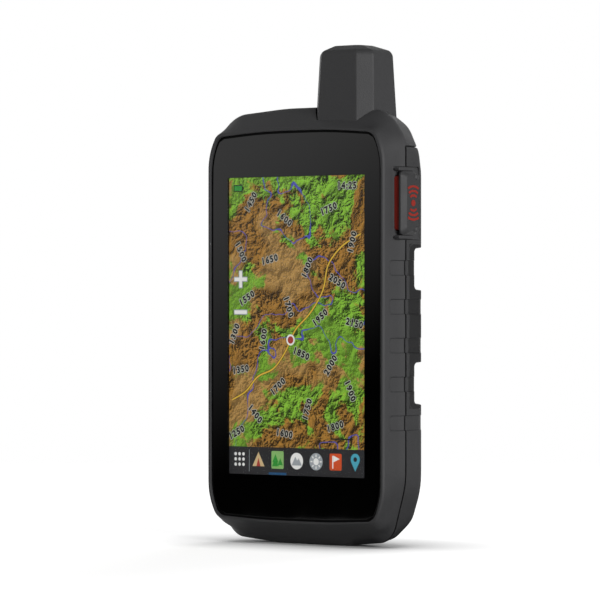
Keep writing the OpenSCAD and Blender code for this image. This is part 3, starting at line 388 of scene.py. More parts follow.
def round_rect(x, z, w, h, r, steps=9):
    """A rectangle with round corners as a ring of (x, z) points."""
    turn = np.linspace(0, math.pi / 2, steps)
    points = []
    for quarter, (i, j) in enumerate(((1, 1), (-1, 1), (-1, -1), (1, -1))):
        a = turn + quarter * math.pi / 2
        points.append(np.stack([x + i * (w / 2 - r) + r * np.cos(a), z + j * (h / 2 - r) + r * np.sin(a)], 1))
    return np.vstack(points)


def brick(name, x0, x1, d0, d1, z0, z1, r=0.05):
    """A box with the four edges along its depth rounded."""
    face = round_rect((x0 + x1) / 2, (z0 + z1) / 2, x1 - x0, z1 - z0, r, 5)
    return skin(name, [at_depth(face, d) for d in (d0, d1)])


def turned(name, axis, centre, profile, steps=64):
    """A turned solid: (radius, place) pairs along axis "x", "d" or "z" through centre."""
    a = np.linspace(0, 2 * math.pi, steps, endpoint=False)
    order = {"x": (1, 2, 0), "d": (0, 2, 1), "z": (0, 1, 2)}[axis]
    rows = []
    for radius, place in profile:
        row = np.zeros((steps, 3))
        row[:, order[0]] = centre[0] + radius * np.cos(a)
        row[:, order[1]] = centre[1] + radius * np.sin(a)
        row[:, order[2]] = place
        rows.append(row)
    return skin(name, rows)


def disc(x, z, r, steps=28):
    """A round loop of points."""
    turn = np.linspace(0, 2 * math.pi, steps, endpoint=False)
    return np.stack([x + r * np.cos(turn), z + r * np.sin(turn)], 1)


def strip(points, wide):
    """A polyline drawn with a width, as one loop."""
    p = np.array(points, float)
    along = np.gradient(p, axis=0)
    along /= np.linalg.norm(along, axis=1)[:, None]
    side = np.stack([-along[:, 1], along[:, 0]], 1) * wide / 2
    return np.vstack([p + side, (p - side)[::-1]])


def carve(piece, *cutters, how="DIFFERENCE"):
    """Applies boolean cutters one by one and removes them."""
    for cutter in cutters:
        cut = piece.modifiers.new("carve", "BOOLEAN")
        cut.operation, cut.solver, cut.object = how, "MANIFOLD", cutter
        done = bpy.data.meshes.new_from_object(piece.evaluated_get(bpy.context.evaluated_depsgraph_get()))
        piece.modifiers.remove(cut)
        if not done.polygons:
            raise RuntimeError(f"{piece.name}: nothing is left after {cutter.name}")
        old, piece.data = piece.data, done
        bpy.data.meshes.remove(old)
        bpy.data.objects.remove(cutter)
    return piece


def copy_of(piece, name):
    """A second object with its own mesh."""
    twin = bpy.data.objects.new(name, piece.data.copy())
    bpy.context.scene.collection.objects.link(twin)
    return twin


def welded_copy(node, name):
    """A CAD node's mesh as a new closed piece, its split corners joined."""
    twin = copy_of(frame["nodes"][node], name)
    work = bmesh.new()
    work.from_mesh(twin.data)
    bmesh.ops.remove_doubles(work, verts=work.verts, dist=2e-6)
    work.to_mesh(twin.data)
    work.free()
    return twin


def node(tree, kind, sockets=(), **settings):
    """Adds a shader node. Settings are its own properties. A socket takes a value or another node's output."""
    made = tree.nodes.new("ShaderNode" + kind)
    for key, value in settings.items():
        setattr(made, key, value)
    for key, value in dict(sockets).items():
        if isinstance(value, bpy.types.NodeSocket):
            tree.links.new(value, made.inputs[key])
        else:
            made.inputs[key].default_value = value
    return made


def start(name):
    """An empty node material and its tree."""
    material = bpy.data.materials.new(name)
    material.use_nodes = True
    material.node_tree.nodes.clear()
    return material, material.node_tree


def shade(base, factor):
    """A linear colour made darker or paler, with full alpha."""
    return [min(1, c * factor) for c in base[:3]] + [1]


def moulded(name, base, grain, rough=0.5, depth=0.12, mottle=0.1, worn=1.35, specular=0.2):
    """A moulded plastic or rubber: fine pits from the tool, uneven gloss, cloudy colour, paler worn edges and
    painted shade in its hollows."""
    material, tree = start(name)
    place = node(tree, "TexCoord").outputs["Object"]
    pits = node(tree, "TexVoronoi", {"Vector": place, "Scale": 1 / (grain * MM)}, feature="SMOOTH_F1")
    fine = node(tree, "TexNoise", {"Vector": place, "Scale": 1.6 / (grain * MM), "Detail": 3})
    relief = node(tree, "Math", {0: pits.outputs["Distance"], 1: fine.outputs["Fac"]}, operation="ADD")
    bump = node(tree, "Bump", {"Height": relief.outputs[0], "Strength": 0.5, "Distance": depth * grain * MM})
    cloud = node(tree, "TexNoise", {"Vector": place, "Scale": 1 / (9 * MM), "Detail": 4, "Roughness": 0.6})
    gloss = node(tree, "MapRange", {"Value": cloud.outputs["Fac"], "From Min": 0.3, "From Max": 0.7,
                                    "To Min": rough - 0.05, "To Max": rough + 0.05})
    speck = node(tree, "Math", {0: fine.outputs["Fac"], 1: cloud.outputs["Fac"]}, operation="ADD")
    tint = node(tree, "MapRange", {"Value": speck.outputs[0], "From Min": 0.7, "From Max": 1.3})
    mottled = node(tree, "Mix", {"Factor": tint.outputs[0], "A": shade(base, 1 - mottle),
                                 "B": shade(base, 1 + mottle)}, data_type="RGBA")
    sharp = node(tree, "NewGeometry").outputs["Pointiness"]
    edge = node(tree, "MapRange", {"Value": sharp, "From Min": 0.515, "From Max": 0.6, "To Max": 0.8})
    rubbed = node(tree, "Math", {0: edge.outputs[0], 1: cloud.outputs["Fac"]}, operation="MULTIPLY")
    whole = node(tree, "Mix", {"Factor": rubbed.outputs[0], "A": mottled.outputs["Result"],
                               "B": shade(base, worn)}, data_type="RGBA")
    # Painted shade: hollows and creases, found by low pointiness, are drawn darker
    hollow = node(tree, "MapRange", {"Value": sharp, "From Min": 0.4, "From Max": 0.492, "To Min": 0.75,
                                     "To Max": 0})
    deep = node(tree, "Mix", {"Factor": hollow.outputs[0], "A": whole.outputs["Result"],
                              "B": shade(base, 0.25)}, data_type="RGBA")
    surface = node(tree, "BsdfPrincipled", {"Base Color": deep.outputs["Result"], "Roughness": gloss.outputs[0],
                                            "Specular IOR Level": specular, "IOR": 1.5,
                                            "Normal": bump.outputs[0]})
    node(tree, "OutputMaterial", {"Surface": surface.outputs[0]})
    return material


def metal(name, base, rough=0.3, streak=(0.15, 0.15, 4.0), depth=0.01, tarnish=0.2):
    """A metal: rolled or turned streaks of the given length in x, y and z, uneven gloss, faint stains."""
    material, tree = start(name)
    place = node(tree, "TexCoord").outputs["Object"]
    drawn = node(tree, "Mapping", {"Vector": place, "Scale": [1 / (s * MM) for s in streak]})
    lines = node(tree, "TexNoise", {"Vector": drawn.outputs[0], "Scale": 1, "Detail": 3})
    bump = node(tree, "Bump", {"Height": lines.outputs["Fac"], "Strength": 0.4, "Distance": depth * MM})
    cloud = node(tree, "TexNoise", {"Vector": place, "Scale": 1 / (3 * MM), "Detail": 4})
    stain = node(tree, "Mix", {"Factor": cloud.outputs["Fac"], "A": shade(base, 1 + tarnish / 3),
                               "B": shade(base, 1 - tarnish)}, data_type="RGBA")
    gloss = node(tree, "MapRange", {"Value": lines.outputs["Fac"], "From Min": 0.3, "From Max": 0.7,
                                    "To Min": rough - 0.07, "To Max": rough + 0.08})
    surface = node(tree, "BsdfPrincipled", {"Base Color": stain.outputs["Result"], "Roughness": gloss.outputs[0],
                                            "Metallic": 1, "Normal": bump.outputs[0]})
    node(tree, "OutputMaterial", {"Surface": surface.outputs[0]})
    return material


def clear(name, base, rough=0.02, smear=0.03, ior=1.5, through=1):
    """A clear or back-printed glass or plastic with a faint uneven film of handling marks."""
    material, tree = start(name)
    place = node(tree, "TexCoord").outputs["Object"]
    film = node(tree, "TexNoise", {"Vector": place, "Scale": 1 / (14 * MM), "Detail": 5, "Distortion": 0.6})
    gloss = node(tree, "MapRange", {"Value": film.outputs["Fac"], "From Min": 0.45, "From Max": 0.8,
                                    "To Min": rough, "To Max": rough + smear})
    surface = node(tree, "BsdfPrincipled", {"Base Color": shade(base, 1), "Roughness": gloss.outputs[0],
                                            "Transmission Weight": through, "IOR": ior})
    node(tree, "OutputMaterial", {"Surface": surface.outputs[0]})
    return material


def lit_from_behind(tree, tone):
    """Ends a display material: nearly black when off, glowing in the given tone."""
    surface = node(tree, "BsdfPrincipled", {"Base Color": (0.01, 0.01, 0.01, 1), "Roughness": 0.5,
                                            "Specular IOR Level": 0.1, "Emission Color": tone,
                                            "Emission Strength": 0.85})
    node(tree, "OutputMaterial", {"Surface": surface.outputs[0]})


def lit_ink(name, base):
    """A flat lit colour on the display, a little uneven as the backlight is."""
    material, tree = start(name)
    place = node(tree, "TexCoord").outputs["Object"]
    cloud = node(tree, "TexNoise", {"Vector": place, "Scale": 1 / (11 * MM), "Detail": 2})
    tone = node(tree, "Mix", {"Factor": cloud.outputs["Fac"], "A": shade(base, 0.85), "B": shade(base, 1.05)},
                data_type="RGBA")
    lit_from_behind(tree, tone.outputs["Result"])
    return material


def relief_map(name, paint, size):
    """A lit display that shows shaded hills with woods, bare slopes, plains and streams, all from noise."""
    material, tree = start(name)
    place = node(tree, "TexCoord").outputs["Object"]
    hill, pull, sun_shift, stream = 1 / size.contour, 8 * MM, 0.22 * MM, 0.0022
    swirl = node(tree, "TexNoise", {"Vector": place, "Scale": hill, "Detail": 3})
    pulled = node(tree, "VectorMath", {0: swirl.outputs["Color"], 1: (pull, pull, pull), 2: place},
                  operation="MULTIPLY_ADD").outputs[0]
    # Heights here and a little up to the left give the slope, and so the hill shading
    heights = []
    for shift in (0, sun_shift):
        moved = node(tree, "VectorMath", {0: pulled, 1: (-shift, 0, shift)}, operation="ADD")
        ridge = {"Vector": moved.outputs[0], "Scale": hill * 2.1, "Detail": 8, "Roughness": 0.62,
                 "Lacunarity": 2.1, "Offset": 0.95, "Gain": 1.8}
        heights.append(node(tree, "TexNoise", ridge, noise_type="RIDGED_MULTIFRACTAL").outputs["Fac"])
    slope = node(tree, "Math", {0: heights[1], 1: heights[0]}, operation="SUBTRACT")
    steep = node(tree, "MapRange", {"Value": slope.outputs[0], "From Min": -0.12, "From Max": 0.12,
                                    "To Min": -0.92, "To Max": 0.7})
    cover = node(tree, "TexNoise", {"Vector": pulled, "Scale": hill * 0.8, "Detail": 6, "Roughness": 0.62,
                                    "Distortion": 0.4})
    mask = node(tree, "MapRange", {"Value": cover.outputs["Fac"], "From Min": 0.485, "From Max": 0.515})
    plains = node(tree, "TexNoise", {"Vector": pulled, "Scale": hill * 0.5, "Detail": 3})
    flat = node(tree, "MapRange", {"Value": plains.outputs["Fac"], "From Min": 0.52, "From Max": 0.57})
    speck = node(tree, "TexNoise", {"Vector": place, "Scale": 1 / (0.8 * MM), "Detail": 3, "Roughness": 0.7})
    wood, earth, plain = (
        node(tree, "Mix", {"Factor": speck.outputs["Fac"], "A": shade(tone, 0.6), "B": shade(tone, 1.4)},
             data_type="RGBA").outputs["Result"] for tone in (paint.wood, paint.earth, paint.plain))
    slopes = node(tree, "Mix", {"Factor": flat.outputs[0], "A": earth, "B": plain}, data_type="RGBA")
    ground = node(tree, "Mix", {"Factor": mask.outputs[0], "A": wood, "B": slopes.outputs["Result"]},
                  data_type="RGBA")
    # The plains are shaded less than the hills
    calm = node(tree, "MapRange", {"Value": flat.outputs[0], "To Min": 1.0, "To Max": 0.5})
    light = node(tree, "Math", {0: steep.outputs[0], 1: calm.outputs[0], 2: 1.0}, operation="MULTIPLY_ADD")
    lit = node(tree, "VectorMath", {0: ground.outputs["Result"], "Scale": light.outputs[0]}, operation="SCALE")
    # Streams follow one level line of a broad noise
    valley = node(tree, "TexNoise", {"Vector": pulled, "Scale": hill * 0.42, "Detail": 2.5, "Roughness": 0.5})
    off = node(tree, "Math", {0: valley.outputs["Fac"], 1: 0.57}, operation="SUBTRACT")
    near = node(tree, "Math", {0: off.outputs[0]}, operation="ABSOLUTE")
    wet = node(tree, "Math", {0: near.outputs[0], 1: stream}, operation="LESS_THAN")
    full = node(tree, "Mix", {"Factor": wet.outputs[0], "A": lit.outputs[0], "B": shade(paint.water, 1)},
                data_type="RGBA")
    lit_from_behind(tree, full.outputs["Result"])
    return material


def slot_of(node):
    """The record's material slot of a CAD node."""
    for part in frame["record"]["subparts"]:
        if part["node"] == node:
            return part["material_slot"]
    raise RuntimeError(f"the record has no sub-part {node}")


def settle(piece, material, body="unit", replaces=(), sharp=32):
    """Smooth shading with sharp cut edges, a finish, a body to ride on and the CAD nodes it stands for."""
    mesh = piece.data
    mesh.name = piece.name
    mesh.materials.clear()
    mesh.materials.append(material)
    mesh.shade_smooth()
    mesh.set_sharp_from_angle(angle=math.radians(sharp))
    weighted = piece.modifiers.new("flat faces stay flat", "WEIGHTED_NORMAL")
    weighted.keep_sharp = True
    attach(piece, body)
    if replaces:
        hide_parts(*replaces)
        slot_of(replaces[0])
    return piece


def finish_node(node, material, bevel=0.15, segments=3):
    """Keeps a CAD node and gives it a finish, rounded edges and clean shading."""
    piece = frame["nodes"][node]
    piece.data.materials.clear()
    piece.data.materials.append(material)
    piece.data.shade_smooth()
    weld = piece.modifiers.new("weld", "WELD")
    weld.merge_threshold = 2e-6
    flat = piece.modifiers.new("flat faces", "DECIMATE")
    flat.decimate_type, flat.angle_limit = "DISSOLVE", math.radians(1)
    if bevel:
        edge = piece.modifiers.new("edges", "BEVEL")
        edge.width, edge.segments, edge.limit_method = bevel * MM, segments, "ANGLE"
        edge.angle_limit, edge.harden_normals = math.radians(35), False
    weighted = piece.modifiers.new("flat faces stay flat", "WEIGHTED_NORMAL")
    weighted.keep_sharp = True
    return piece


def rounded_box_depth(u, v, u0, u1, v0, v1, r):
    """How far points lie inside a rounded rectangle, negative outside."""
    du = np.abs(u - (u0 + u1) / 2) - (u1 - u0) / 2 + r
    dv = np.abs(v - (v0 + v1) / 2) - (v1 - v0) / 2 + r
    outside = np.hypot(np.maximum(du, 0), np.maximum(dv, 0))
    return r - outside - np.minimum(np.maximum(du, dv), 0)


def ease(x):
    """A smooth step from 0 to 1."""
    x = np.clip(x, 0, 1)
    return x * x * (3 - 2 * x)


def soft_excess(x, bend):
    """How far x is above 0, with the corner bent."""
    return (x + np.sqrt(x * x + bend * bend)) / 2


def press_grips(points, band_in):
    """Sinks the pocket, the grip bands and the cradle notches into both sides of the shells."""
    hand = np.sign(points[:, 0])
    x, d, z = np.abs(points[:, 0]), points[:, 1], points[:, 2]
    inside = rounded_box_depth(d, z, POCKET_D, OPEN_END, POCKET_Z0, POCKET_Z1, POCKET_ROUND)
    floor_x = SIDE - POCKET_STEP - (d - POCKET_D) * POCKET_SLOPE
    sink = np.where(d > POCKET_D - 0.6, soft_excess(x - floor_x, 0.1), 0)
    x = x - ease(inside / POCKET_SOFT + 0.5) * sink * (x > SIDE_X0)
    for i in range(BAND_N):
        middle = BAND_Z + i * BAND_PITCH
        inside = rounded_box_depth(d, z, BAND_D0, BAND_D1, middle - BAND_H / 2, middle + BAND_H / 2,
                                   BAND_ROUND)
        x = x - band_in * ease(inside / BAND_SOFT + 0.5) * (x > SIDE_X0)
    # The notches cut the rear edge at 45 degrees
    for i in (0, 1):
        middle = NOTCH_Z + i * NOTCH_PITCH
        along = (SIDE - x + d - NOTCH_D) / math.sqrt(2)
        inside = rounded_box_depth(along, z, 1.1, OPEN_END, middle - NOTCH_H / 2, middle + NOTCH_H / 2,
                                   NOTCH_ROUND)
        cut = ease(inside / NOTCH_SOFT + 0.5) * soft_excess((x + d - SIDE - NOTCH_D) / math.sqrt(2), 0.35)
        cut = cut * ((x > 20) & (d > 10)) / math.sqrt(2)
        x, d = x - cut, d - cut
    return np.stack([hand * x, d, z], 1)


def body_block(size):
    """The whole outer form from the glass pocket over the rim and the parting line to the flat back."""
    body, rear = ring(BODY), ring(REAR)
    lip = [ring(GLASS, GLASS_GAP), ring(LIPS, LIP - LIP_ROUND), ring(LIPS, LIP)]
    brow = ring(BROW)
    cheek = at_depth(lip[2], LIP_ROUND) * (1 - CHEEK) + at_depth(brow, BROW_D) * CHEEK
    # The two lower corners of the cheek are a little fuller
    up, across = (cheek[:, 2] - CORNER_Z) / 4, (np.abs(cheek[:, 0]) - CORNER_X) / 5
    fuller = np.exp(-up ** 2 - across ** 2) * CORNER_FULL
    cheek += np.stack([np.sign(cheek[:, 0]) * fuller, 0 * fuller, -fuller], 1)
    # The open line between the shells stops at the top cap and beside the emergency panel
    below_cap = np.clip((CAP_Z - 0.6 - body[:, 1]) / 0.3, 0, 1)
    beside_panel = (body[:, 0] > 0) & (body[:, 1] > SOS_LO[2] - 0.3) & (body[:, 1] < SOS_HI[2] + 0.3)
    groove = size.groove / MM * below_cap * ~beside_panel
    lips = inward(body, groove)
    behind = inward(rear, EDGE_CUT)
    rows = bent([
        (at_depth(lip[0], LEDGE_D), 0, 2),
        (at_depth(lip[0], 0), 0.3, 0),
        (at_depth(lip[1], 0), 0.25, 0),
        (at_depth(lip[2], LIP_ROUND), 0.5, 14),
        (cheek, 1.5, 10),
        (at_depth(brow, BROW_D), 1.4, 2),
        (at_depth(body, PART_D - LIP_CUT), 0.1, 0),
        (at_depth(lips, PART_D - LIP_CUT), 0.03, 0),
        (at_depth(lips, PART_D + SEAM + LIP_CUT), 0.03, 0),
        (at_depth(body, PART_D + SEAM + LIP_CUT), 0.16, 30),
        (at_depth(rear, SIDE_D), size.edge_round / MM, 14),
        (at_depth(behind, BACK_D), size.back_round / MM, 0),
        (at_depth(ring(REAR, -EDGE_CUT - FLAT_IN), BACK_D), 0, 0)])
    # The flat back is cut into narrow rows near its edge, where the notches and the pocket reach it
    inner = [rows[-2] + (rows[-1] - rows[-2]) * s for s in np.linspace(0, 1, 15)[1:]]
    rows = rows[:-1] + inner
    counts = np.array([len(r) for r in rows])
    pressed = press_grips(np.vstack(rows), size.band_in / MM)
    return skin("body_block", np.split(pressed, np.cumsum(counts)[:-1]))


def roll_cap_line(block, groove):
    """Cuts grid lines beside the line where the top cap ends, and rolls its lips in."""
    middle = CAP_Z - SEAM / 2
    offsets = (0.12, 0.18, 0.24, 0.32, 0.42)
    reach, roll_from, roll_over = 6, 0.44, 0.26
    work = bmesh.new()
    work.from_mesh(block.data)
    for z in [middle + s * o for o in offsets for s in (-1, 1)]:
        parts = [f for f in work.faces if any(v.co.z / MM > z - reach for v in f.verts)
                 and any(v.co.z / MM < z + reach for v in f.verts)
                 and f.calc_center_median().y / MM - RIM_Y > BROW_D]
        edges, corners = {e for f in parts for e in f.edges}, {v for f in parts for v in f.verts}
        bmesh.ops.bisect_plane(work, geom=parts + list(edges) + list(corners), plane_co=(0, 0, z * MM),
                               plane_no=(0, 0, 1), dist=1e-7)
    work.normal_update()
    for v in work.verts:
        off = abs(v.co.z / MM - middle)
        d = v.co.y / MM - RIM_Y
        if off < 0.5 and d > PART_D + SEAM / 2:
            sink = groove * float(ease(np.array((roll_from - off) / roll_over)))
            v.co -= Vector((v.normal.x, v.normal.y, 0)).normalized() * sink * MM
    work.to_mesh(block.data)
    work.free()
    return block


def cavity():
    """The room inside the shells, less solid blocks for the well, the latch, the sockets and the antenna."""
    # Outline, how far it grows and depth of each level, from the glass to the back
    levels = ((GLASS, 0.5, LEDGE_D + 1.4), (BODY, -2.9, BROW_D), (BODY, -2.4, PART_D),
              (REAR, -3.2, PART_D + 4.4), (REAR, -8.5, BACK_D - 6), (REAR, -14, BACK_D - 2))
    room = skin("room", [at_depth(ring(c, grow, coarse=True), d) for c, grow, d in levels])
    well_x, past_back, peg_wall = PACK_HI[0] + 2, BACK_D + 2, 3
    blocks = [
        brick("antenna_seat", STUB_LO[0] - 2, STUB_HI[0] + 2, -2, STUB_HI[1] + 2, STUB_LO[2] - 3.6,
              BODY_H + 9),
        brick("well_block", -well_x, well_x, PACK_LO[1] - 1.6, past_back, PACK_LO[2] - 2, PACK_HI[2] + 2.4),
        brick("keeper_block", -10.2, 10.2, BACK_D - 14.3, past_back, LATCH_Z - 9.6, LATCH_Z + 9.6)]
    for node, grow in (("camera_module", 1.6), ("flash_lens", 1.4), ("antenna_port_cap", 2.6)):
        lo, hi = span(node)
        blocks.append(brick(node + "_block", lo[0] - grow, hi[0] + grow, lo[1] - 1, past_back,
                            lo[2] - grow, hi[2] + grow))
    blocks += [brick("peg_block", x - peg_wall, x + peg_wall, BACK_D - 4, past_back,
                     PEG_Z - peg_wall, PEG_Z + peg_wall) for x in (-PEG_X, PEG_X)]
    flap_lo, flap_hi = span("usb_cap")
    blocks.append(brick("flap_block", -SIDE - 3, flap_hi[0] + 2, flap_lo[1] - 1.6, flap_hi[1] + 1.6,
                        flap_lo[2] - 3, flap_hi[2] + 1.8))
    return carve(room, *blocks)


def octagon(x0, x1, d0, d1, cut, z, rear_cut=1.4, bend=0.5):
    """Plan of the antenna at one height: wide cuts at the front corners, small ones at the rear, rounded."""
    corner = np.array([(x0 + cut, d0), (x1 - cut, d0), (x1, d0 + cut), (x1, d1 - rear_cut),
                       (x1 - rear_cut, d1), (x0 + rear_cut, d1), (x0, d1 - rear_cut), (x0, d0 + cut)])
    points = []
    for i in range(8):
        back, ahead = corner[i - 1] - corner[i], corner[(i + 1) % 8] - corner[i]
        a = corner[i] + back / np.linalg.norm(back) * bend
        b = corner[i] + ahead / np.linalg.norm(ahead) * bend
        points += [(1 - s) ** 2 * a + 2 * s * (1 - s) * corner[i] + s * s * b for s in np.linspace(0, 1, 6)]
    points = np.array(points)
    return np.stack([points[:, 0], points[:, 1], np.full(len(points), float(z))], 1)


def antenna_socket():
    """Cutter for the socket in the roof that takes the antenna's foot."""
    return skin("antenna_socket", [
        octagon(STUB_LO[0] - FIT, STUB_HI[0] + FIT, STUB_LO[1] - FIT, STUB_HI[1] + FIT, STUB_CUT, z)
        for z in (STUB_LO[2] - 0.6, BODY_H + 20)])


def side_window():
    """Cutter for the opening that takes the emergency panel."""
    middle, wide = (SOS_LO + SOS_HI) / 2, SOS_HI - SOS_LO + 2 * FIT
    points = round_rect(middle[1], middle[2], wide[1], wide[2], 0.6)
    return skin("side_window", [on_side(points, x) for x in (SOS_LO[0] - 0.3, SIDE + 6)])


def rear_cutters():
    """Cutters for everything that is let into the back and the left side of the rear housing."""
    well_x = PACK_HI[0] + 0.4
    cutters = [
        brick("well", -well_x, well_x, PACK_LO[1] - 0.3, BACK_D + 9, PACK_LO[2] - 0.4, PACK_HI[2] + 0.8, 2),
        brick("keeper", -8.6, 8.6, BACK_D - 13, BACK_D + 9, LATCH_Z - 8, LATCH_Z + 8, 1.5)]
    past_back = BACK_D + 5
    for name, gap in (("camera_bezel", 0.12), ("flash_lens", 0.12), ("pressure_vent", 0.12)):
        lo, hi = span(name)
        r, bevel = (hi[0] - lo[0]) / 2 + gap, 0.35
        cutters.append(turned(name + "_hole", "d", ((lo[0] + hi[0]) / 2, (lo[2] + hi[2]) / 2), (
            (r, lo[1] - 0.1), (r, BACK_D - bevel), (r + bevel, BACK_D), (r + bevel, past_back))))
    for x in (-PEG_X, PEG_X):
        cutters.append(turned("peg_hole", "d", (x, PEG_Z), (
            (PEG_R + 0.1, BACK_D - 2.8), (PEG_R + 0.1, past_back)), 40))
    lo, hi = span("case_screws")
    for x, z in ((SCREW_X, lo[2] + SCREW_IN), (-SCREW_X, lo[2] + SCREW_IN),
                 (hi[0] - SCREW_IN, hi[2] - SCREW_IN), (lo[0] + SCREW_IN, hi[2] - SCREW_IN)):
        r, bevel = SCREW_HOLE_R, 0.3
        cutters.append(turned("screw_hole", "d", (x, z), (
            (r, hi[1] - 2.2), (r, BACK_D - bevel), (r + bevel, BACK_D), (r + bevel, past_back)), 40))
    for name, gap, below, r in (("contact_block", 0.12, 0, 1.0), ("antenna_port_cap", 0.2, 1.0, 1.2)):
        lo, hi = span(name)
        cutters.append(brick(name + "_hole", lo[0] - gap, hi[0] + gap, lo[1] - 0.1, past_back,
                             lo[2] - gap - below, hi[2] + gap, r))
    for name, gap, below, room in (("usb_cap", 0.2, 1.3, 0.1), ("power_button", 0.15, 0, 0.75)):
        lo, hi = span(name)
        points = round_rect((lo[1] + hi[1]) / 2, (lo[2] - below + hi[2]) / 2, hi[1] - lo[1] + 2 * gap,
                            hi[2] - lo[2] + below + 2 * gap, 1.6)
        cutters.append(skin(name + "_hole", [on_side(points, x) for x in (-SIDE - 6, hi[0] + room)]))
    return cutters


def takes_painted_shade(face):
    """True for a face of the line between the shells or of the cradle pocket, which are drawn in painted shade.
    """
    x, d, z = (abs(face.center.x) / MM, face.center.y / MM - RIM_Y, face.center.z / MM)
    in_line = abs(d - PART_D - SEAM / 2) < SEAM / 2 + LIP_CUT + 0.02 and z < CAP_Z
    in_pocket = POCKET_D < d < 27 and x > 28 and POCKET_Z0 < z < POCKET_Z1
    return in_line or in_pocket and face.normal.x * face.center.x > 0


class NAVIGATOR_OT_shells(bpy.types.Operator):
    """Front frame and rear housing, cut from one smooth outer form"""
    bl_idname = "navigator.shells"
    bl_label = "Shells"

    def execute(self, context):
        size, paint = context.scene.navigator_sizes, context.scene.navigator_colours
        block = roll_cap_line(body_block(size), CAP_LINE_IN)
        room = cavity()
        front = copy_of(block, "front_frame_shell")
        carve(front, brick("behind", -FAR_X, FAR_X, PART_D, BEHIND, BELOW, CAP_Z),
              copy_of(room, "room_front"),
              brick("display_opening", PANEL_LO[0] - 0.2, PANEL_HI[0] + 0.2, 0.5, LEDGE_D + 3,
                    PANEL_LO[2] - 0.2, PANEL_HI[2] + 0.2, 0.6),
              side_window(), antenna_socket())
        rear = copy_of(block, "rear_housing_shell")
        carve(rear, brick("ahead", -FAR_X, FAR_X, AHEAD, PART_D + SEAM, BELOW, ABOVE),
              brick("above", -FAR_X, FAR_X, AHEAD, BEHIND, CAP_Z - SEAM, ABOVE),
              copy_of(room, "room_rear"), side_window(), *rear_cutters())
        for piece in (block, room):
            bpy.data.objects.remove(piece)
        grain = size.grain / MM
        # ABS and polycarbonate blend, injection moulded in a spark-eroded tool: an even dry pitted sheen
        settle(front, moulded("ABS blend, spark-eroded moulding", paint.shell, grain),
               replaces=["front_frame"])
        # The rear shell is glass-filled nylon from a like tool: a shade darker and drier
        settle(rear, moulded("Glass-filled nylon, spark-eroded moulding", paint.rear, grain, rough=0.58),
               replaces=["rear_housing"])
        # The cradle pocket and the line between the shells get a smooth finish, and a much darker colour that is
        # painted shade
        smooth = moulded("Glass-filled nylon, smooth, painted shade", paint.pocket, grain, rough=0.45, depth=0.04)
        for shell in (front, rear):
            shell.data.materials.append(smooth)
            for face in shell.data.polygons:
                if takes_painted_shade(face):
                    face.material_index = 1
        return {"FINISHED"}


def lit_area(less):
    """Cutter as large as the lit part of the display."""
    return brick("lit_area", less - SCREEN_X, SCREEN_X - less, -2, 8, SCREEN_Z0 + less, SCREEN_Z1 - less, 0.3)


def box_loop(x, z, w, h, r=0.2):
    """A small rounded rectangle for a screen mark."""
    return round_rect(x, z, w, h, r, 4)


def smooth_route():
    """The route as 61 points, its corners smoothed."""
    fine = np.linspace(0, len(ROUTE) - 1, 61)
    way = np.stack([np.interp(fine, range(len(ROUTE)), [p[i] for p in ROUTE]) for i in (0, 1)], 1)
    for _ in range(6):
        way[1:-1] = (way[:-2] + 2 * way[1:-1] + way[2:]) / 4
    return way


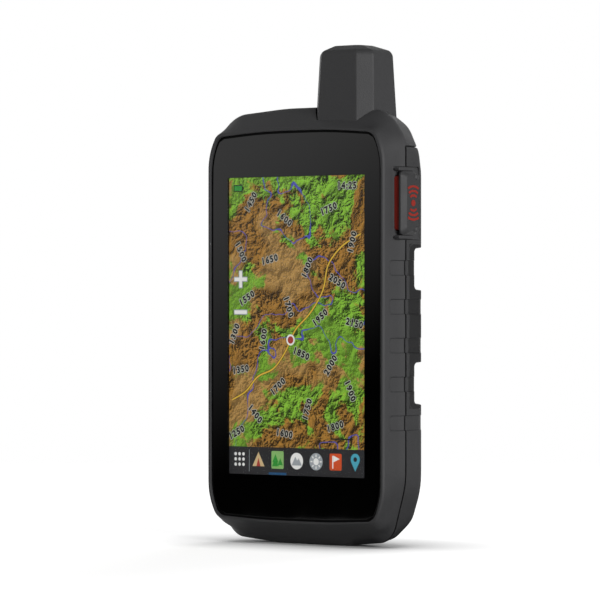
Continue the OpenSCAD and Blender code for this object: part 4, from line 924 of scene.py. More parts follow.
def screen_marks():
    """Flat marks over the map as (name, ink, lift, loops): route, place, zoom keys, signs and icon bar."""
    # Lifts of what lies on the map, over that, on the icon bar and on an icon's own tile
    low, mid, on_bar, on_tile = 0.008, 0.016, 0.034, 0.042
    way = smooth_route()
    here = way[27]
    yield "route_edge", "black", low, [strip(way, 0.95)]
    yield "route", "sun", 0.014, [strip(way, 0.6)]
    yield "place_rim", "white", 0.022, [disc(*here, 2.0)]
    yield "place", "rust", 0.03, [disc(*here, 1.35)]

    key_x, plus_z, minus_z = -27, 96, 84
    zoom = (("zoom_edge", "grey", low, 6.6, 1.9), ("zoom_keys", "white", mid, 6, 1.3))
    for name, ink, lift, long, thick in zoom:
        yield name, ink, lift, [box_loop(key_x, plus_z, long, thick), box_loop(key_x, plus_z, thick, long),
                                box_loop(key_x, minus_z, long, thick)]
    charge_x, status_z = -28.2, CLOCK[1]
    yield "charge_case", "black", low, [box_loop(charge_x, status_z, 4.4, 2.5),
                                        box_loop(-25.8, status_z, 0.7, 1.1)]
    yield "charge", "green", mid, [box_loop(charge_x, status_z, 3.7, 1.8)]
    yield "scale", "black", 0.01, [box_loop(21, 38.6, 10, 0.5, 0.1), box_loop(16.2, 39.1, 0.5, 1.4, 0.1),
                                   box_loop(25.8, 39.1, 0.5, 1.4, 0.1)]

    bar_z = SCREEN_Z0 + BAR_H / 2
    at = [-SCREEN_X + 4.9 + i * ICON_PITCH for i in range(7)]
    yield "bar", "bar", 0.024, [box_loop(0, bar_z - 0.4, 2 * SCREEN_X + 1.6, BAR_H + 0.8, 0.1)]
    yield "bar_rule", "rule", 0.032, [box_loop(at[2], SCREEN_Z0 + 0.5, 8.4, 0.8, 0.1)]
    yield "bar_split", "grey", 0.032, [box_loop(at[0] + 4.7, bar_z, 0.18, 8, 0.05)]
    steps = (-1, 0, 1)
    yield "menu_dots", "white", on_bar, [disc(at[0] + 1.9 * i, bar_z + 0.4 + 1.9 * j, 0.62, 14)
                                         for i in steps for j in steps]
    foot = (at[1], bar_z + 0.2)
    yield "tent", "sand", on_bar, [np.array([(-2.9, -2.2), (0, 3), (2.9, -2.2)]) + foot]
    yield "tent_door", "rust", on_tile, [np.array([(-1.0, -2.2), (0, 0.9), (1.0, -2.2)]) + foot]
    yield "wood_tile", "leaf", on_bar, [box_loop(at[2], bar_z + 0.5, 5.8, 6.4, 0.5)]
    tree = np.array([(-1.5, -0.6), (0, 2.4), (1.5, -0.6)])
    yield "trees", "green", on_tile, [tree * s + (at[2] + x, bar_z + z)
                                      for x, z, s in ((-1, 0.2, 1.0), (1.3, -0.9, 0.85), (-1, -1.2, 1.1))]
    disc_z = bar_z + 0.3
    yield "peak_disc", "white", on_bar, [disc(at[3], disc_z, 3.0)]
    ridge = np.array([(-2.4, -1.6), (-0.7, 1.6), (0.2, 0.2), (1, 1), (2.4, -1.6)])
    yield "peak", "grey", on_tile, [ridge + (at[3], disc_z)]
    yield "sun_disc", "grey", on_bar, [disc(at[4], disc_z, 3.1)]
    rays = [strip([(at[4] + r * math.cos(a), disc_z + r * math.sin(a)) for r in (1.7, 2.6)], 0.45)
            for a in np.linspace(0, 2 * math.pi, 8, endpoint=False)]
    yield "sun", "white", on_tile, [disc(at[4], disc_z, 1.25)] + rays
    yield "flag_tile", "orange", on_bar, [box_loop(at[5], bar_z + 0.4, 5.6, 6, 0.5)]
    yield "flag", "white", on_tile, [box_loop(at[5] - 1.3, disc_z, 0.5, 4.6, 0.1),
                                     np.array([(-1, 2.5), (1.9, 1.3), (-1, 0.1)]) + (at[5], bar_z + 0.2)]
    arc = np.radians(np.linspace(-30, 210, 21))
    drop = np.vstack([np.stack([2.1 * np.cos(arc), 1.3 + 2.1 * np.sin(arc)], 1), [(0, -3.0)]])
    yield "drop", "sky", on_bar, [drop + (at[6], bar_z + 0.2)]
    yield "drop_eye", "bar", on_tile, [disc(at[6], bar_z + 1.5, 0.85)]


def numerals(name, depth, spread):
    """Heights and clock as one thin mesh. With a spread, copies set round each one make a pale edge."""
    points, faces = [], []
    round_about = np.linspace(0, 2 * math.pi, 8, endpoint=False) if spread else [0]
    shifts = [Vector((math.cos(a), math.sin(a), 0)) * spread * MM for a in round_about]
    for x, z, turn, text in HEIGHTS + (CLOCK,):
        curve = bpy.data.curves.new("digits", "FONT")
        curve.body, curve.size, curve.align_x, curve.align_y = text, DIGIT_H * MM, "CENTER", "CENTER"
        curve.space_character = 1.25
        curve.resolution_u, curve.extrude, curve.offset = 2, INK_THICK / 2 * MM, DIGIT_SWELL * MM
        carrier = bpy.data.objects.new("digits", curve)
        bpy.context.scene.collection.objects.link(carrier)
        flat = bpy.data.meshes.new_from_object(carrier.evaluated_get(bpy.context.evaluated_depsgraph_get()))
        stand = (Matrix.Translation(row_point(x, depth, z)) @ Matrix.Rotation(math.pi / 2, 4, "X")
                 @ Matrix.Rotation(math.radians(turn), 4, "Z"))
        for shift in shifts:
            faces += [[len(points) + i for i in face.vertices] for face in flat.polygons]
            points += [stand @ (v.co + shift) for v in flat.vertices]
        bpy.data.objects.remove(carrier)
        bpy.data.meshes.remove(flat)
        bpy.data.curves.remove(curve)
    mesh = bpy.data.meshes.new(name)
    mesh.from_pydata(points, [], faces)
    work = bmesh.new()
    work.from_mesh(mesh)
    bmesh.ops.remove_doubles(work, verts=work.verts, dist=1e-8)
    work.to_mesh(mesh)
    work.free()
    piece = bpy.data.objects.new(name, mesh)
    bpy.context.scene.collection.objects.link(piece)
    return piece


class NAVIGATOR_OT_screen(bpy.types.Operator):
    """Cover glass with its black border, and the lit map with what is drawn over it"""
    bl_idname = "navigator.screen"
    bl_label = "Screen"

    def execute(self, context):
        paint, size = context.scene.navigator_colours, context.scene.navigator_sizes
        whole, inner = ring(GLASS, -0.1, coarse=True), ring(GLASS, -2, coarse=True)
        back = GLASS_HI[1] - 0.03
        sheet = skin("cover_glass_sheet", bent([
            (at_depth(inner, GLASS_LO[1]), 0, 0), (at_depth(whole, GLASS_LO[1]), 0.12, 0),
            (at_depth(whole, back), 0.15, 0), (at_depth(inner, back), 0, 0)]))
        border = carve(copy_of(sheet, "cover_glass_border"), lit_area(0))
        carve(sheet, lit_area(-PANE_LAP), how="INTERSECT")
        # Strengthened cover glass, coated against reflections over the lit area: the map stays clear and deep
        pane = clear("Cover glass, anti-reflection coated", linear("#ffffff"), rough=0.04, smear=0.02, ior=1.14)
        settle(sheet, pane, replaces=["cover_glass"], sharp=60)
        # The same glass without the coat, black ink printed on its back: dense black under a soft reflection
        printed = clear("Cover glass, back-printed black", paint.ink, rough=0.05, smear=0.04, ior=1.42, through=0)
        settle(border, printed, sharp=60)
        gap = [at_depth(ring(GLASS, GLASS_GAP - 0.02), d) for d in (1.0, GLASS_HI[1] - 0.02)]
        hole = [at_depth(ring(GLASS, -0.08), d) for d in (-2, 4)]
        gap_shade_fill = carve(skin("glass_gap_shade", gap), skin("bead_hole", hole))
        # Painted shade: a black fill in the gap round the glass, where there is only shade; it also keeps light
        # out of the glass's edge
        gap_shade_black = moulded("Black gap fill, painted shade", linear("#060606"), grain=0.4, rough=0.6, depth=0.05,
                          specular=0.05)
        settle(gap_shade_fill, gap_shade_black)
        # Liquid crystal panel lit from behind: glowing colours with no sheen of their own
        finish_node("display_panel", relief_map("Lit display, relief map", paint, size), bevel=0)
        # What the map program draws over the relief: flat lit colours
        lit = {name: lit_ink("Lit display, " + name, linear(tone)) for name, tone in (
            ("white", "#e9e9e6"), ("black", "#151515"), ("grey", "#9aa0a4"), ("bar", "#29292b"),
            ("rule", "#1f4f78"), ("green", "#2f8f35"), ("leaf", "#86b56a"), ("sky", "#4aa3b8"),
            ("orange", "#cc4f26"), ("sand", "#c9b183"), ("rust", "#a23b32"), ("sun", "#d8b13c"),
            ("halo", "#b9bcb4"))}
        for name, ink, lift, loops in screen_marks():
            depths = [PANEL_LO[1] - lift + t for t in (0, INK_THICK)]
            mark = skin("screen_" + name, *[[at_depth(loop, d) for d in depths] for loop in loops])
            settle(mark, lit[ink])
        for name, ink, lift, spread in (("numeral_halos", "halo", 0.02, HALO), ("numerals", "black", 0.03, 0)):
            digits = numerals("screen_" + name, PANEL_LO[1] - lift, spread)
            settle(digits, lit[ink])
        return {"FINISHED"}


def antenna_form(name, inset=0.0, drop=0.0):
    """The stub antenna: leaning sides, cut corners and a low hipped top."""
    top = STUB_HI[2] - drop
    foot = np.array([STUB_LO[0] + inset, STUB_HI[0] - inset, STUB_LO[1] + inset, STUB_HI[1] - inset])
    # From foot to top: height, how far the hips draw in, front corner cut and share of the sides' lean
    levels = ((STUB_LO[2], 0, STUB_CUT, 0), (top - 3.4, 0, STUB_CUT, 1), (top - 1.9, 0.9, STUB_CUT - 0.4, 1),
              (top, 6.4, 1.6, 1), (top, 8.6, 0.8, 1))
    rows = []
    for up, hip, cut, lean in levels:
        edges = foot + STUB_LEAN * lean + hip * np.array([1, -1, 0.6, -0.7])
        rows.append(octagon(*edges, cut, up, 1.4 if hip < 1 else 0.9, 0.5 if hip < 1 else 0.3))
    trims = ((0, 6), (0.9, 1), (0.9, 2), (0.7, 1), (0, 0))
    return skin(name, bent([(row, *trim) for row, trim in zip(rows, trims)], steps=7))


class NAVIGATOR_OT_antenna(bpy.types.Operator):
    """Stub antenna cover with its soft eight-sided form, and what it holds"""
    bl_idname = "navigator.antenna"
    bl_label = "Antenna"

    def execute(self, context):
        size, paint = context.scene.navigator_sizes, context.scene.navigator_colours
        cover = carve(antenna_form("antenna_cover_shell"), antenna_form("hollow", 1.8, 2.2))
        # Polycarbonate blend, moulded over the winding: the same dry pitted sheen as the shells
        settle(cover, moulded("Polycarbonate blend, spark-eroded moulding", paint.stub, size.grain / MM),
               replaces=["antenna_cover"], sharp=40)
        # Undyed liquid crystal polymer: pale cream with a waxy sheen
        polymer = moulded("Liquid crystal polymer, moulded", linear("#cfc4a8"), grain=0.3, rough=0.5)
        finish_node("antenna_core", polymer, bevel=0.2)
        # Rolled copper strip: warm, bright, lightly oxidised
        finish_node("antenna_winding", metal("Copper strip, rolled", linear("#b8673c"), rough=0.3), bevel=0)
        # Extruded jacket: smooth and slightly greasy
        jacket = moulded("Fluoropolymer jacket, extruded", linear("#a9a9a4"), grain=0.6, rough=0.35,
                         depth=0.03)
        finish_node("antenna_lead", jacket, bevel=0)
        # Silicone gasket: soft, dusty black
        gasket = moulded("Silicone rubber gasket, moulded", paint.rubber, grain=0.3, rough=0.7)
        finish_node("antenna_gasket", gasket, bevel=0.1)
        return {"FINISHED"}


def bore_plugs():
    """Short plugs that close both ends of the cap's bore: wide in the cap's wall, then as thin as the pin."""
    plugs, wide = [], PIN_R + 0.3
    for end, way in ((CAP_LO[2], 1), (CAP_HI[2], -1)):
        wall = end + way * CAP_WALL
        profile = ((wide, end + way * 0.02), (wide, wall), (PIN_R, wall), (PIN_R, end + way * PLUG))
        plugs.append(turned("plug", "z", PIN_AT, profile, 24))
    return plugs


def short_pin():
    """The hinge pin with broken edges, ending just behind the plugs."""
    foot, top, broken = CAP_LO[2] + PLUG + 0.03, CAP_HI[2] - PLUG - 0.03, 0.15
    profile = ((PIN_R - broken, foot), (PIN_R, foot + broken), (PIN_R, top - broken), (PIN_R - broken, top))
    return turned("hinge_pin_turned", "z", PIN_AT, profile, 32)


def cap_envelope():
    """Soft outer form of the emergency cap: chamfered all round, its four corners rounded."""
    d, z = (CAP_LO[1] + CAP_HI[1]) / 2, (CAP_LO[2] + CAP_HI[2]) / 2
    deep, tall, face = CAP_HI[1] - CAP_LO[1], CAP_HI[2] - CAP_LO[2], CAP_HI[0] - MARK_H
    foot = round_rect(d - 0.4, z, deep - 0.8, tall, 1.9)
    brim = round_rect(d + 0.5, z, deep - 3.0, tall - 2.6, 1.8)
    crown = round_rect(d + 0.5, z, deep - 5.4, tall - 6, 1.2)
    return skin("cap_form", bent([(on_side(foot, CAP_LO[0] - 2), 0, 0), (on_side(foot, face - 1.5), 0.3, 1),
                                  (on_side(brim, face), 0.3, 0), (on_side(crown, face), 0, 0)]))


def guard_rims():
    """Low rounded ribs on the panel above and below the cap, which keep a glove off its ends."""
    lofts = []
    for z in (SOS_LO[2] + 0.85, SOS_HI[2] - 0.85):
        rib = round_rect((CAP_LO[1] + CAP_HI[1]) / 2 - 0.9, z, 8.6, 1.15, 0.5)
        crest = SIDE + GUARD_UP
        lofts.append(bent([(on_side(rib, SIDE - 1), 0, 0), (on_side(rib, crest), 0.35, 0),
                           (on_side(inward(rib, 0.4), crest), 0, 0)]))
    return skin("cap_guard_rims", *lofts)


def beacon_loops():
    """A beacon sign for the cap: a dot with rings of waves above and below it."""
    d, z = (CAP_LO[1] + CAP_HI[1]) / 2 + 0.5, (CAP_LO[2] + CAP_HI[2]) / 2
    loops = [disc(d, z, 1.15, 32)]
    for way in (1, -1):
        for r, half in ((2.7, 40), (4.3, 36), (5.9, 30)):
            a = np.radians(np.linspace(-half, half, 17))
            outer, inner = ((r + w) * np.stack([np.sin(s), way * np.cos(s)], 1)
                            for w, s in ((0.4, a), (-0.4, a[::-1])))
            loops.append(np.vstack([outer, inner]) + (d, z))
    return loops


class NAVIGATOR_OT_emergency(bpy.types.Operator):
    """Emergency panel, cap with its mark, red button, pin and switch"""
    bl_idname = "navigator.emergency"
    bl_label = "Emergency button"

    def execute(self, context):
        size, paint = context.scene.navigator_sizes, context.scene.navigator_colours
        grain = size.grain / MM
        # ABS panel from the same tool finish as the frame: the same dry pitted sheen
        panel = moulded("ABS panel, spark-eroded moulding", paint.shell, grain)
        finish_node("sos_panel", panel, bevel=0.2)
        settle(guard_rims(), panel)
        # Nylon cap: the same pits, a little darker, its edges drawn paler than on the other parts
        cap = carve(welded_copy("sos_cap", "sos_cap_shell"), *bore_plugs(), how="UNION")
        carve(cap, cap_envelope(), how="INTERSECT")
        settle(cap, moulded("Nylon cap, spark-eroded moulding", paint.cap, grain, worn=1.6),
               "sos_cap", ["sos_cap"])
        film = (MARK_H + 0.05, 0)
        mark = skin("beacon_mark", *[[on_side(loop, CAP_HI[0] - t) for t in film] for loop in beacon_loops()])
        # Pad-printed ink: a thin dull red film
        ink = moulded("Red ink, pad printed", paint.alert, grain=0.3, rough=0.6, depth=0.04)
        settle(mark, ink, "sos_cap")
        # Red thermoplastic elastomer: soft, slightly dusty, darker in the pits
        elastomer = moulded("Red elastomer, moulded", paint.alert, grain=0.5, rough=0.55, depth=0.08)
        finish_node("sos_button", elastomer, bevel=0.25, segments=4)
        # Ground steel pin with a black oxide skin: dark, oily grey
        oxide = metal("Steel pin, black oxide", linear("#2e2e30"), rough=0.4)
        settle(short_pin(), oxide, replaces=["sos_hinge_pin"])
        # Black glass-filled nylon: plain and half matt
        switch = moulded("Glass-filled nylon switch, moulded", linear("#161617"), grain=0.3)
        finish_node("sos_switch", switch, bevel=0.1)
        return {"FINISHED"}


class NAVIGATOR_OT_side_controls(bpy.types.Operator):
    """Power button and data-socket flap on the left side"""
    bl_idname = "navigator.side_controls"
    bl_label = "Side controls"

    def execute(self, context):
        paint = context.scene.navigator_colours
        # Silicone key rubber: matt, dark, with a faint dusty bloom
        rubber = moulded("Silicone key rubber, moulded", paint.rubber, grain=0.3, rough=0.65, depth=0.08)
        finish_node("power_button", rubber, bevel=0.35, segments=4)
        finish_node("usb_cap", rubber, bevel=0.3)
        # Black nylon: plain and half matt
        switch = moulded("Nylon switch, moulded", linear("#161617"), grain=0.3)
        finish_node("power_switch", switch, bevel=0.1)
        # Tin-plated drawn steel: grey, softly bright
        finish_node("usb_socket", metal("Tinned steel, drawn", linear("#b7b9bb"), rough=0.3), bevel=0.1)
        return {"FINISHED"}


def smooth_door():
    """The battery door: the CAD underside with lip and pegs, under a crowned plate with a dished recess."""
    lower = carve(welded_copy("battery_door", "door_underside"),
                  brick("door_cut", -60, 60, 0, DOOR_SPLIT + 0.03, -20, 200), how="INTERSECT")
    tall, wide, rim = DOOR_HI[2] - DOOR_LO[2], DOOR_HI[0] - DOOR_LO[0], DOOR_HI[1]
    edge = round_rect(0, (DOOR_LO[2] + DOOR_HI[2]) / 2, wide, tall, 5, 13)
    upper = skin("battery_door_plate", bent([
        (at_depth(edge, DOOR_SPLIT), 0, 1), (at_depth(edge, rim - 1.4), 0.7, 1),
        (at_depth(inward(edge, 1.9), rim), 0.9, 0), (at_depth(inward(edge, 4), rim), 0, 0)], steps=7))
    # The dish as (step out from its wall, depth below the door's face), from its floor to above the face
    dish = ((-0.9, -3.4), (-0.35, -3.25), (0, -2.7), (0, -0.6),
            (0.12, -0.3), (0.35, -0.1), (0.75, 0), (0.75, 4))
    latch = (0, LATCH_Z)
    carve(upper, turned("recess", "d", latch, [(DISH_R + out, rim + up) for out, up in dish], 96),
          turned("stud_bore", "d", latch, ((STUD_BORE_R, 20), (STUD_BORE_R, 50)), 48))
    return carve(upper, lower, how="UNION")


class NAVIGATOR_OT_battery(bpy.types.Operator):
    """Battery pack, door and its turning latch with the folding ring"""
    bl_idname = "navigator.battery"
    bl_label = "Battery and door"

    def execute(self, context):
        size, paint = context.scene.navigator_sizes, context.scene.navigator_colours
        # ABS door from the same spark-eroded tool finish as the rear housing: dry and pitted
        settle(smooth_door(), moulded("ABS door, spark-eroded moulding", paint.rear, size.grain / MM),
               "battery_door", ["battery_door"])
        # Polycarbonate pack: smooth black with a soft sheen
        pack = moulded("Polycarbonate pack, moulded", linear("#1b1b1c"), grain=0.5, rough=0.42, depth=0.05)
        finish_node("battery_pack", pack, bevel=0.6)
        # Gold over nickel: yellow and bright, with lines from the stamping
        contacts = metal("Gold-plated contacts, stamped", linear("#d3a54b"), rough=0.2)
        finish_node("battery_contacts", contacts, bevel=0.05)
        # Soft silicone: dull, dusty black
        seal = moulded("Silicone door seal, moulded", paint.rubber, grain=0.3, rough=0.7)
        finish_node("door_seal", seal, bevel=0.15)
        # Tumbled stainless steel: soft bright grey with fine handling scratches
        stainless = metal("Stainless steel, tumbled", linear("#b3b3b0"), rough=0.28)
        finish_node("latch_stud", stainless, bevel=0.2)
        finish_node("d_ring", stainless, bevel=0)
        # Drawn spring wire: darker and streaked along its length
        spring = metal("Spring steel, drawn", linear("#8c8e91"), rough=0.3)
        finish_node("latch_clip", spring, bevel=0.05)
        finish_node("keeper_spring", spring, bevel=0)
        return {"FINISHED"}


class NAVIGATOR_OT_rear_fittings(bpy.types.Operator):
    """Camera, flash, vent, cradle contacts, outside-antenna socket and case screws"""
    bl_idname = "navigator.rear_fittings"
    bl_label = "Rear fittings"

    def execute(self, context):
        paint = context.scene.navigator_colours
        # Turned aluminium, anodised black: fine lines, satin
        anodised = metal("Aluminium, black anodised", linear("#2b2b2e"), rough=0.35)
        finish_node("camera_bezel", anodised, bevel=0.15)
        # Coated lens glass: clear with a cold blue cast
        lens = clear("Lens glass, coated", linear("#dfe4ff"), rough=0.04, smear=0.02, ior=1.52)
        finish_node("camera_window", lens, bevel=0.1)
        # Nylon barrel: nearly black, so that the lens looks deep
        barrel = moulded("Nylon lens barrel, moulded", linear("#0d0d0e"), grain=0.3, rough=0.4)
        finish_node("camera_module", barrel, bevel=0.1)
        # Clear polycarbonate over the flash: warm and slightly frosted
        flash = clear("Clear polycarbonate, moulded", linear("#fff3dc"), rough=0.12, smear=0.05, ior=1.58)
        finish_node("flash_lens", flash, bevel=0.15)
        # Pressed membrane, dyed grey: dry as felt
        membrane = moulded("PTFE membrane, pressed", linear("#3b3b3c"), grain=0.2, rough=0.8, depth=0.2)
        finish_node("pressure_vent", membrane, bevel=0.1)
        # Black nylon: half matt, a dark ground for the gold
        block = moulded("Nylon contact block, moulded", linear("#151516"), grain=0.3, rough=0.5)
        finish_node("contact_block", block, bevel=0.15)
        # Gold over nickel: yellow and bright, with lines from the stamping
        gold = metal("Gold-plated pads, stamped", linear("#d3a54b"), rough=0.2)
        finish_node("mount_contacts", gold, bevel=0.1)
        finish_node("antenna_port", gold, bevel=0.05)
        # Silicone flap: matt and dark, with a faint dusty bloom
        flap = moulded("Silicone flap, moulded", paint.rubber, grain=0.3, rough=0.65, depth=0.08)
        finish_node("antenna_port_cap", flap, bevel=0.3)
        # Steel screws, black zinc plated: dark with bright worn recess edges
        zinc = metal("Steel, black zinc plated", linear("#2c2c2e"), rough=0.38)
        finish_node("case_screws", zinc, bevel=0.1)
        # Turned and knurled brass: warm yellow, bright
        brass = metal("Brass, turned and knurled", linear("#c39a47"), rough=0.3)
        finish_node("thread_inserts", brass, bevel=0)
        # Soft silicone: a dull black line between the shells
        seal = moulded("Silicone case seal, moulded", paint.rubber, grain=0.3, rough=0.7)
        finish_node("case_seal", seal, bevel=0)
        return {"FINISHED"}


class NAVIGATOR_OT_inner_parts(bpy.types.Operator):
    """Board, display tray and the small parts inside"""
    bl_idname = "navigator.inner_parts"
    bl_label = "Inner parts"

    def execute(self, context):
        # Foam tape: dead matt black, open to the eye along its cut edge
        tape = moulded("Closed-cell foam tape, die cut", linear("#101011"), grain=0.25, rough=0.9, depth=0.2)
        finish_node("glass_gasket", tape, bevel=0)
        # Pressed tinplate: cold grey, softly bright
        tray = metal("Tinplate tray, pressed", linear("#b9bcbf"), rough=0.35)
        finish_node("display_tray", tray, bevel=0.1)
        # Polyimide film: amber, smooth and slightly glossy
        film = moulded("Polyimide film, laminated", linear("#a9691d"), grain=0.8, rough=0.35, depth=0.02)
        finish_node("display_flex", film, bevel=0)
        # Solder mask over laminate: deep green with a fine mottle
        mask = moulded("Circuit board, solder masked", linear("#14432b"), grain=0.5, rough=0.4, depth=0.1)
        finish_node("main_board", mask, bevel=0)
        # Nickel silver: warm pale grey with drawn lines
        cans = metal("Nickel silver cans, pressed", linear("#c4c1b8"), rough=0.3)
        finish_node("board_shields", cans, bevel=0.15)
        # Bright zinc plate: cold pale grey
        finish_node("board_screws", metal("Steel, zinc plated", linear("#c0c3c6"), rough=0.3), bevel=0.05)
        # Black glass-filled nylon: plain and half matt
        black = moulded("Glass-filled nylon, moulded black", linear("#161617"), grain=0.3, rough=0.5)
        finish_node("beeper", black, bevel=0.15)
        finish_node("memory_card", black, bevel=0.05)
        # Undyed polymer: pale cream with a waxy sheen
        polymer = moulded("Polymer card holder, moulded", linear("#cfc4a8"), grain=0.3, rough=0.5)
        finish_node("card_holder", polymer, bevel=0.1)
        return {"FINISHED"}


def seen_directly(tree):
    """1 for rays from the camera, a mirror or a clear piece, else 0."""
    path = node(tree, "LightPath")
    mirrored = node(tree, "Math", {0: path.outputs["Is Camera Ray"], 1: path.outputs["Is Glossy Ray"]},
                    operation="MAXIMUM")
    return node(tree, "Math", {0: mirrored.outputs[0], 1: path.outputs["Is Transmission Ray"]},
                operation="MAXIMUM").outputs[0]


def sheet_of(name, corners):
    """A flat four-cornered sheet for the stage."""
    mesh = bpy.data.meshes.new(name)
    mesh.from_pydata(corners, [], [(0, 1, 2, 3)])
    sheet = bpy.data.objects.new(name, mesh)
    bpy.context.scene.collection.objects.link(sheet)
    return sheet


def painted_board(light):
    """The floor's material: white to the eye, with the object's shadow, running out into the room."""
    material, tree = start("Studio floor, painted board")
    place = node(tree, "TexCoord").outputs["Object"]
    direct = seen_directly(tree)
    # The board is pale to the eye; its bounce is held down, so the underside keeps its shade
    tone = node(tree, "Mix", {"Factor": direct, "A": shade(light.floor, 0.28), "B": shade(light.floor, 1)},
                data_type="RGBA")
    plain = node(tree, "BsdfDiffuse", {"Color": tone.outputs["Result"]})
    # Close to the object ambient occlusion dims the board's glow: a painted contact shadow
    close = node(tree, "AmbientOcclusion", {"Distance": 40 * MM}, samples=16)
    open_air = node(tree, "MapRange", {"Value": close.outputs["AO"], "From Min": 0.4, "From Max": 1.0})
    glowing = node(tree, "Math", {0: direct, 1: light.floor_lift}, operation="MULTIPLY")
    lift = node(tree, "Math", {0: glowing.outputs[0], 1: open_air.outputs[0]}, operation="MULTIPLY")
    glow = node(tree, "Emission", {"Color": WHITE, "Strength": lift.outputs[0]})
    both = node(tree, "AddShader", {0: plain.outputs[0], 1: glow.outputs[0]})
    # Away from the object the board runs out into the white of the room
    away = node(tree, "VectorMath", {0: place}, operation="LENGTH")
    rim = node(tree, "MapRange", {"Value": away.outputs["Value"], "From Min": 0.3, "From Max": 0.8},
               interpolation_type="SMOOTHSTEP")
    gone = node(tree, "BsdfTransparent")
    mixed = node(tree, "MixShader", {0: rim.outputs[0], 1: both.outputs[0], 2: gone.outputs[0]})
    node(tree, "OutputMaterial", {"Surface": mixed.outputs[0]})
    return material


def white_studio(light):
    """The room: brightest all round and dim overhead, and plain white only to the camera."""
    world = bpy.data.worlds.new("white studio")
    world.use_nodes = True
    tree = world.node_tree
    tree.nodes.clear()
    view = node(tree, "SeparateXYZ", {0: node(tree, "TexCoord").outputs["Generated"]})
    round_about = node(tree, "MapRange", {"Value": view.outputs["Z"], "From Min": 0.15, "From Max": 0.9,
                                          "To Min": 1, "To Max": 0.25})
    level = node(tree, "MapRange", {"Value": seen_directly(tree), "To Min": light.ambient, "To Max": 1})
    dimmed = node(tree, "Math", {0: level.outputs[0], 1: round_about.outputs[0]}, operation="MULTIPLY")
    white = node(tree, "LightPath").outputs["Is Camera Ray"]
    strength = node(tree, "Math", {0: dimmed.outputs[0], 1: white}, operation="MAXIMUM")
    sky = node(tree, "Background", {"Color": WHITE, "Strength": strength.outputs[0]})
    node(tree, "OutputWorld", {"Surface": sky.outputs[0]})
    return world


def dark_card(name, start_at, end_at, tall, fade, slant=0.0, lean=0.0):
    """A card with its foot on the floor between two points, black below and white above. Its fade may slant
    along x, and its top may lean back along y."""
    (x0, y0), (x1, y1) = start_at, end_at
    card = sheet_of(name, [(x0, y0, 0), (x1, y1, 0), (x1, y1 + lean, tall), (x0, y0 + lean, tall)])
    material, tree = start("Black card, sprayed to white")
    place = node(tree, "TexCoord").outputs["Object"]
    height = node(tree, "VectorMath", {0: place, 1: (slant, 0, 1)}, operation="DOT_PRODUCT")
    tone = node(tree, "MapRange", {"Value": height.outputs["Value"], "From Min": fade[0], "From Max": fade[1]},
                interpolation_type="SMOOTHSTEP")
    glow = node(tree, "Emission", {"Color": WHITE, "Strength": tone.outputs[0]})
    node(tree, "OutputMaterial", {"Surface": glow.outputs[0]})
    material.cycles.emission_sampling = "NONE"
    card.data.materials.append(material)
    card.visible_camera = card.visible_diffuse = card.visible_shadow = False
    return card


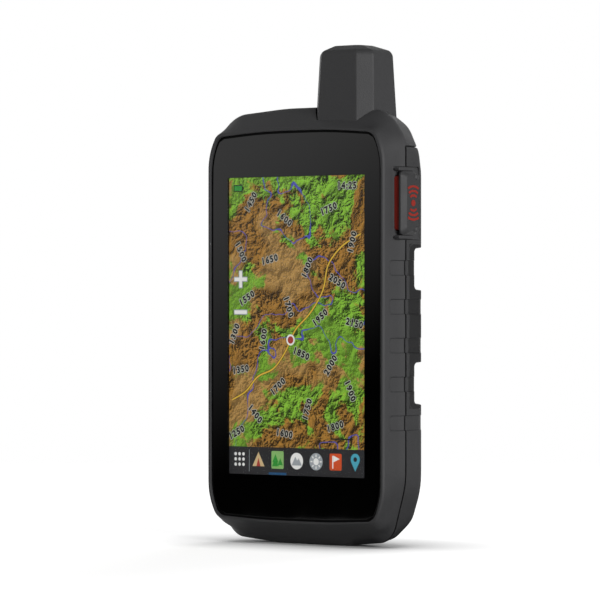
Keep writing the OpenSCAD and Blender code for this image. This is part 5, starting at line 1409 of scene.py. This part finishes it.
class NAVIGATOR_OT_stage(bpy.types.Operator):
    """Pale floor, soft light and the camera"""
    bl_idname = "navigator.stage"
    bl_label = "Stage"

    def execute(self, context):
        scene, light = context.scene, context.scene.navigator_stage
        scene.view_settings.view_transform = "Standard"
        r = FLOOR_REACH
        floor = sheet_of("floor", [(-r, -r, 0), (r, -r, 0), (r, r, 0), (-r, r, 0)])
        floor.data.materials.append(painted_board(light))
        scene.world = white_studio(light)

        # Cards that only gloss mirrors: one fades up the glass, two keep the far side and its foot deep
        dark_card("front_card", (-0.34, 0.03), (0.1, -0.26), 0.19, (0.111, 0.253), slant=-0.8)
        dark_card("rear_card", (0.22, 0.4), (0.06, 0.42), 0.55, (0.3, 0.55))
        dark_card("floor_card", (0.02, -0.008), (0.14, -0.008), 0.001, (0.1, 0.2), lean=0.09)

        # Each lamp's name, power, place and width in metres, and whether gloss mirrors it
        for name, watts, place, wide, glossy in (
                ("key lamp", light.key_power, (1.6, -0.57, 0.4), 0.8, True),
                ("rear lamp", light.rear_power, (-0.5, 1.4, 0.8), 0.9, False),
                ("left lamp", light.left_power, (-1.2, -0.8, 0.35), 0.8, False)):
            lamp = bpy.data.objects.new(name, bpy.data.lights.new(name, "AREA"))
            lamp.data.energy, lamp.data.size = watts, wide
            lamp.location = place
            lamp.rotation_euler = (LAMP_AIM - lamp.location).to_track_quat("-Z", "Y").to_euler()
            lamp.visible_glossy = glossy
            scene.collection.objects.link(lamp)

        camera = bpy.data.objects.new("camera", bpy.data.cameras.new("camera"))
        level = math.cos(CAMERA_TILT)
        back = Vector((math.sin(CAMERA_TURN) * level, -math.cos(CAMERA_TURN) * level, math.sin(CAMERA_TILT)))
        right = Vector((math.cos(CAMERA_TURN), math.sin(CAMERA_TURN), 0))
        turned_to = Matrix((right, back.cross(right), back)).transposed().to_4x4()
        camera.matrix_world = Matrix.Translation(CAMERA_AT) @ turned_to
        camera.data.sensor_width, camera.data.lens = CAMERA_SENSOR, CAMERA_LENS
        scene.collection.objects.link(camera)
        scene.camera = camera
        return {"FINISHED"}


OPERATORS = (NAVIGATOR_OT_shells, NAVIGATOR_OT_screen, NAVIGATOR_OT_antenna, NAVIGATOR_OT_emergency,
             NAVIGATOR_OT_side_controls, NAVIGATOR_OT_battery, NAVIGATOR_OT_rear_fittings,
             NAVIGATOR_OT_inner_parts, NAVIGATOR_OT_stage)
GROUPS = {"navigator_sizes": NavigatorSizes, "navigator_colours": NavigatorColours,
          "navigator_stage": NavigatorStage}


class NAVIGATOR_PT_build(bpy.types.Panel):
    """Lists the building steps and their settings"""
    bl_idname = "NAVIGATOR_PT_build"
    bl_label = "Navigator"
    bl_space_type = "VIEW_3D"
    bl_region_type = "UI"
    bl_category = "Navigator"

    def draw(self, context):
        for group, kind in GROUPS.items():
            box = self.layout.box()
            for name in kind.__annotations__:
                box.prop(getattr(context.scene, group), name)
        for step in OPERATORS:
            self.layout.operator(step.bl_idname)


def register():
    """Registers the classes and hangs the settings on the scene."""
    for kind in (*GROUPS.values(), *OPERATORS, NAVIGATOR_PT_build):
        bpy.utils.register_class(kind)
    for name, kind in GROUPS.items():
        setattr(bpy.types.Scene, name, bpy.props.PointerProperty(type=kind))


def unregister():
    """Takes the settings and classes away again."""
    for name in GROUPS:
        delattr(bpy.types.Scene, name)
    for kind in reversed((*GROUPS.values(), *OPERATORS, NAVIGATOR_PT_build)):
        bpy.utils.unregister_class(kind)


def main():
    """Builds every group in order."""
    register()
    for step in OPERATORS:
        group, name = step.bl_idname.split(".")
        getattr(getattr(bpy.ops, group), name)()


if __name__ == "__main__":
    main()
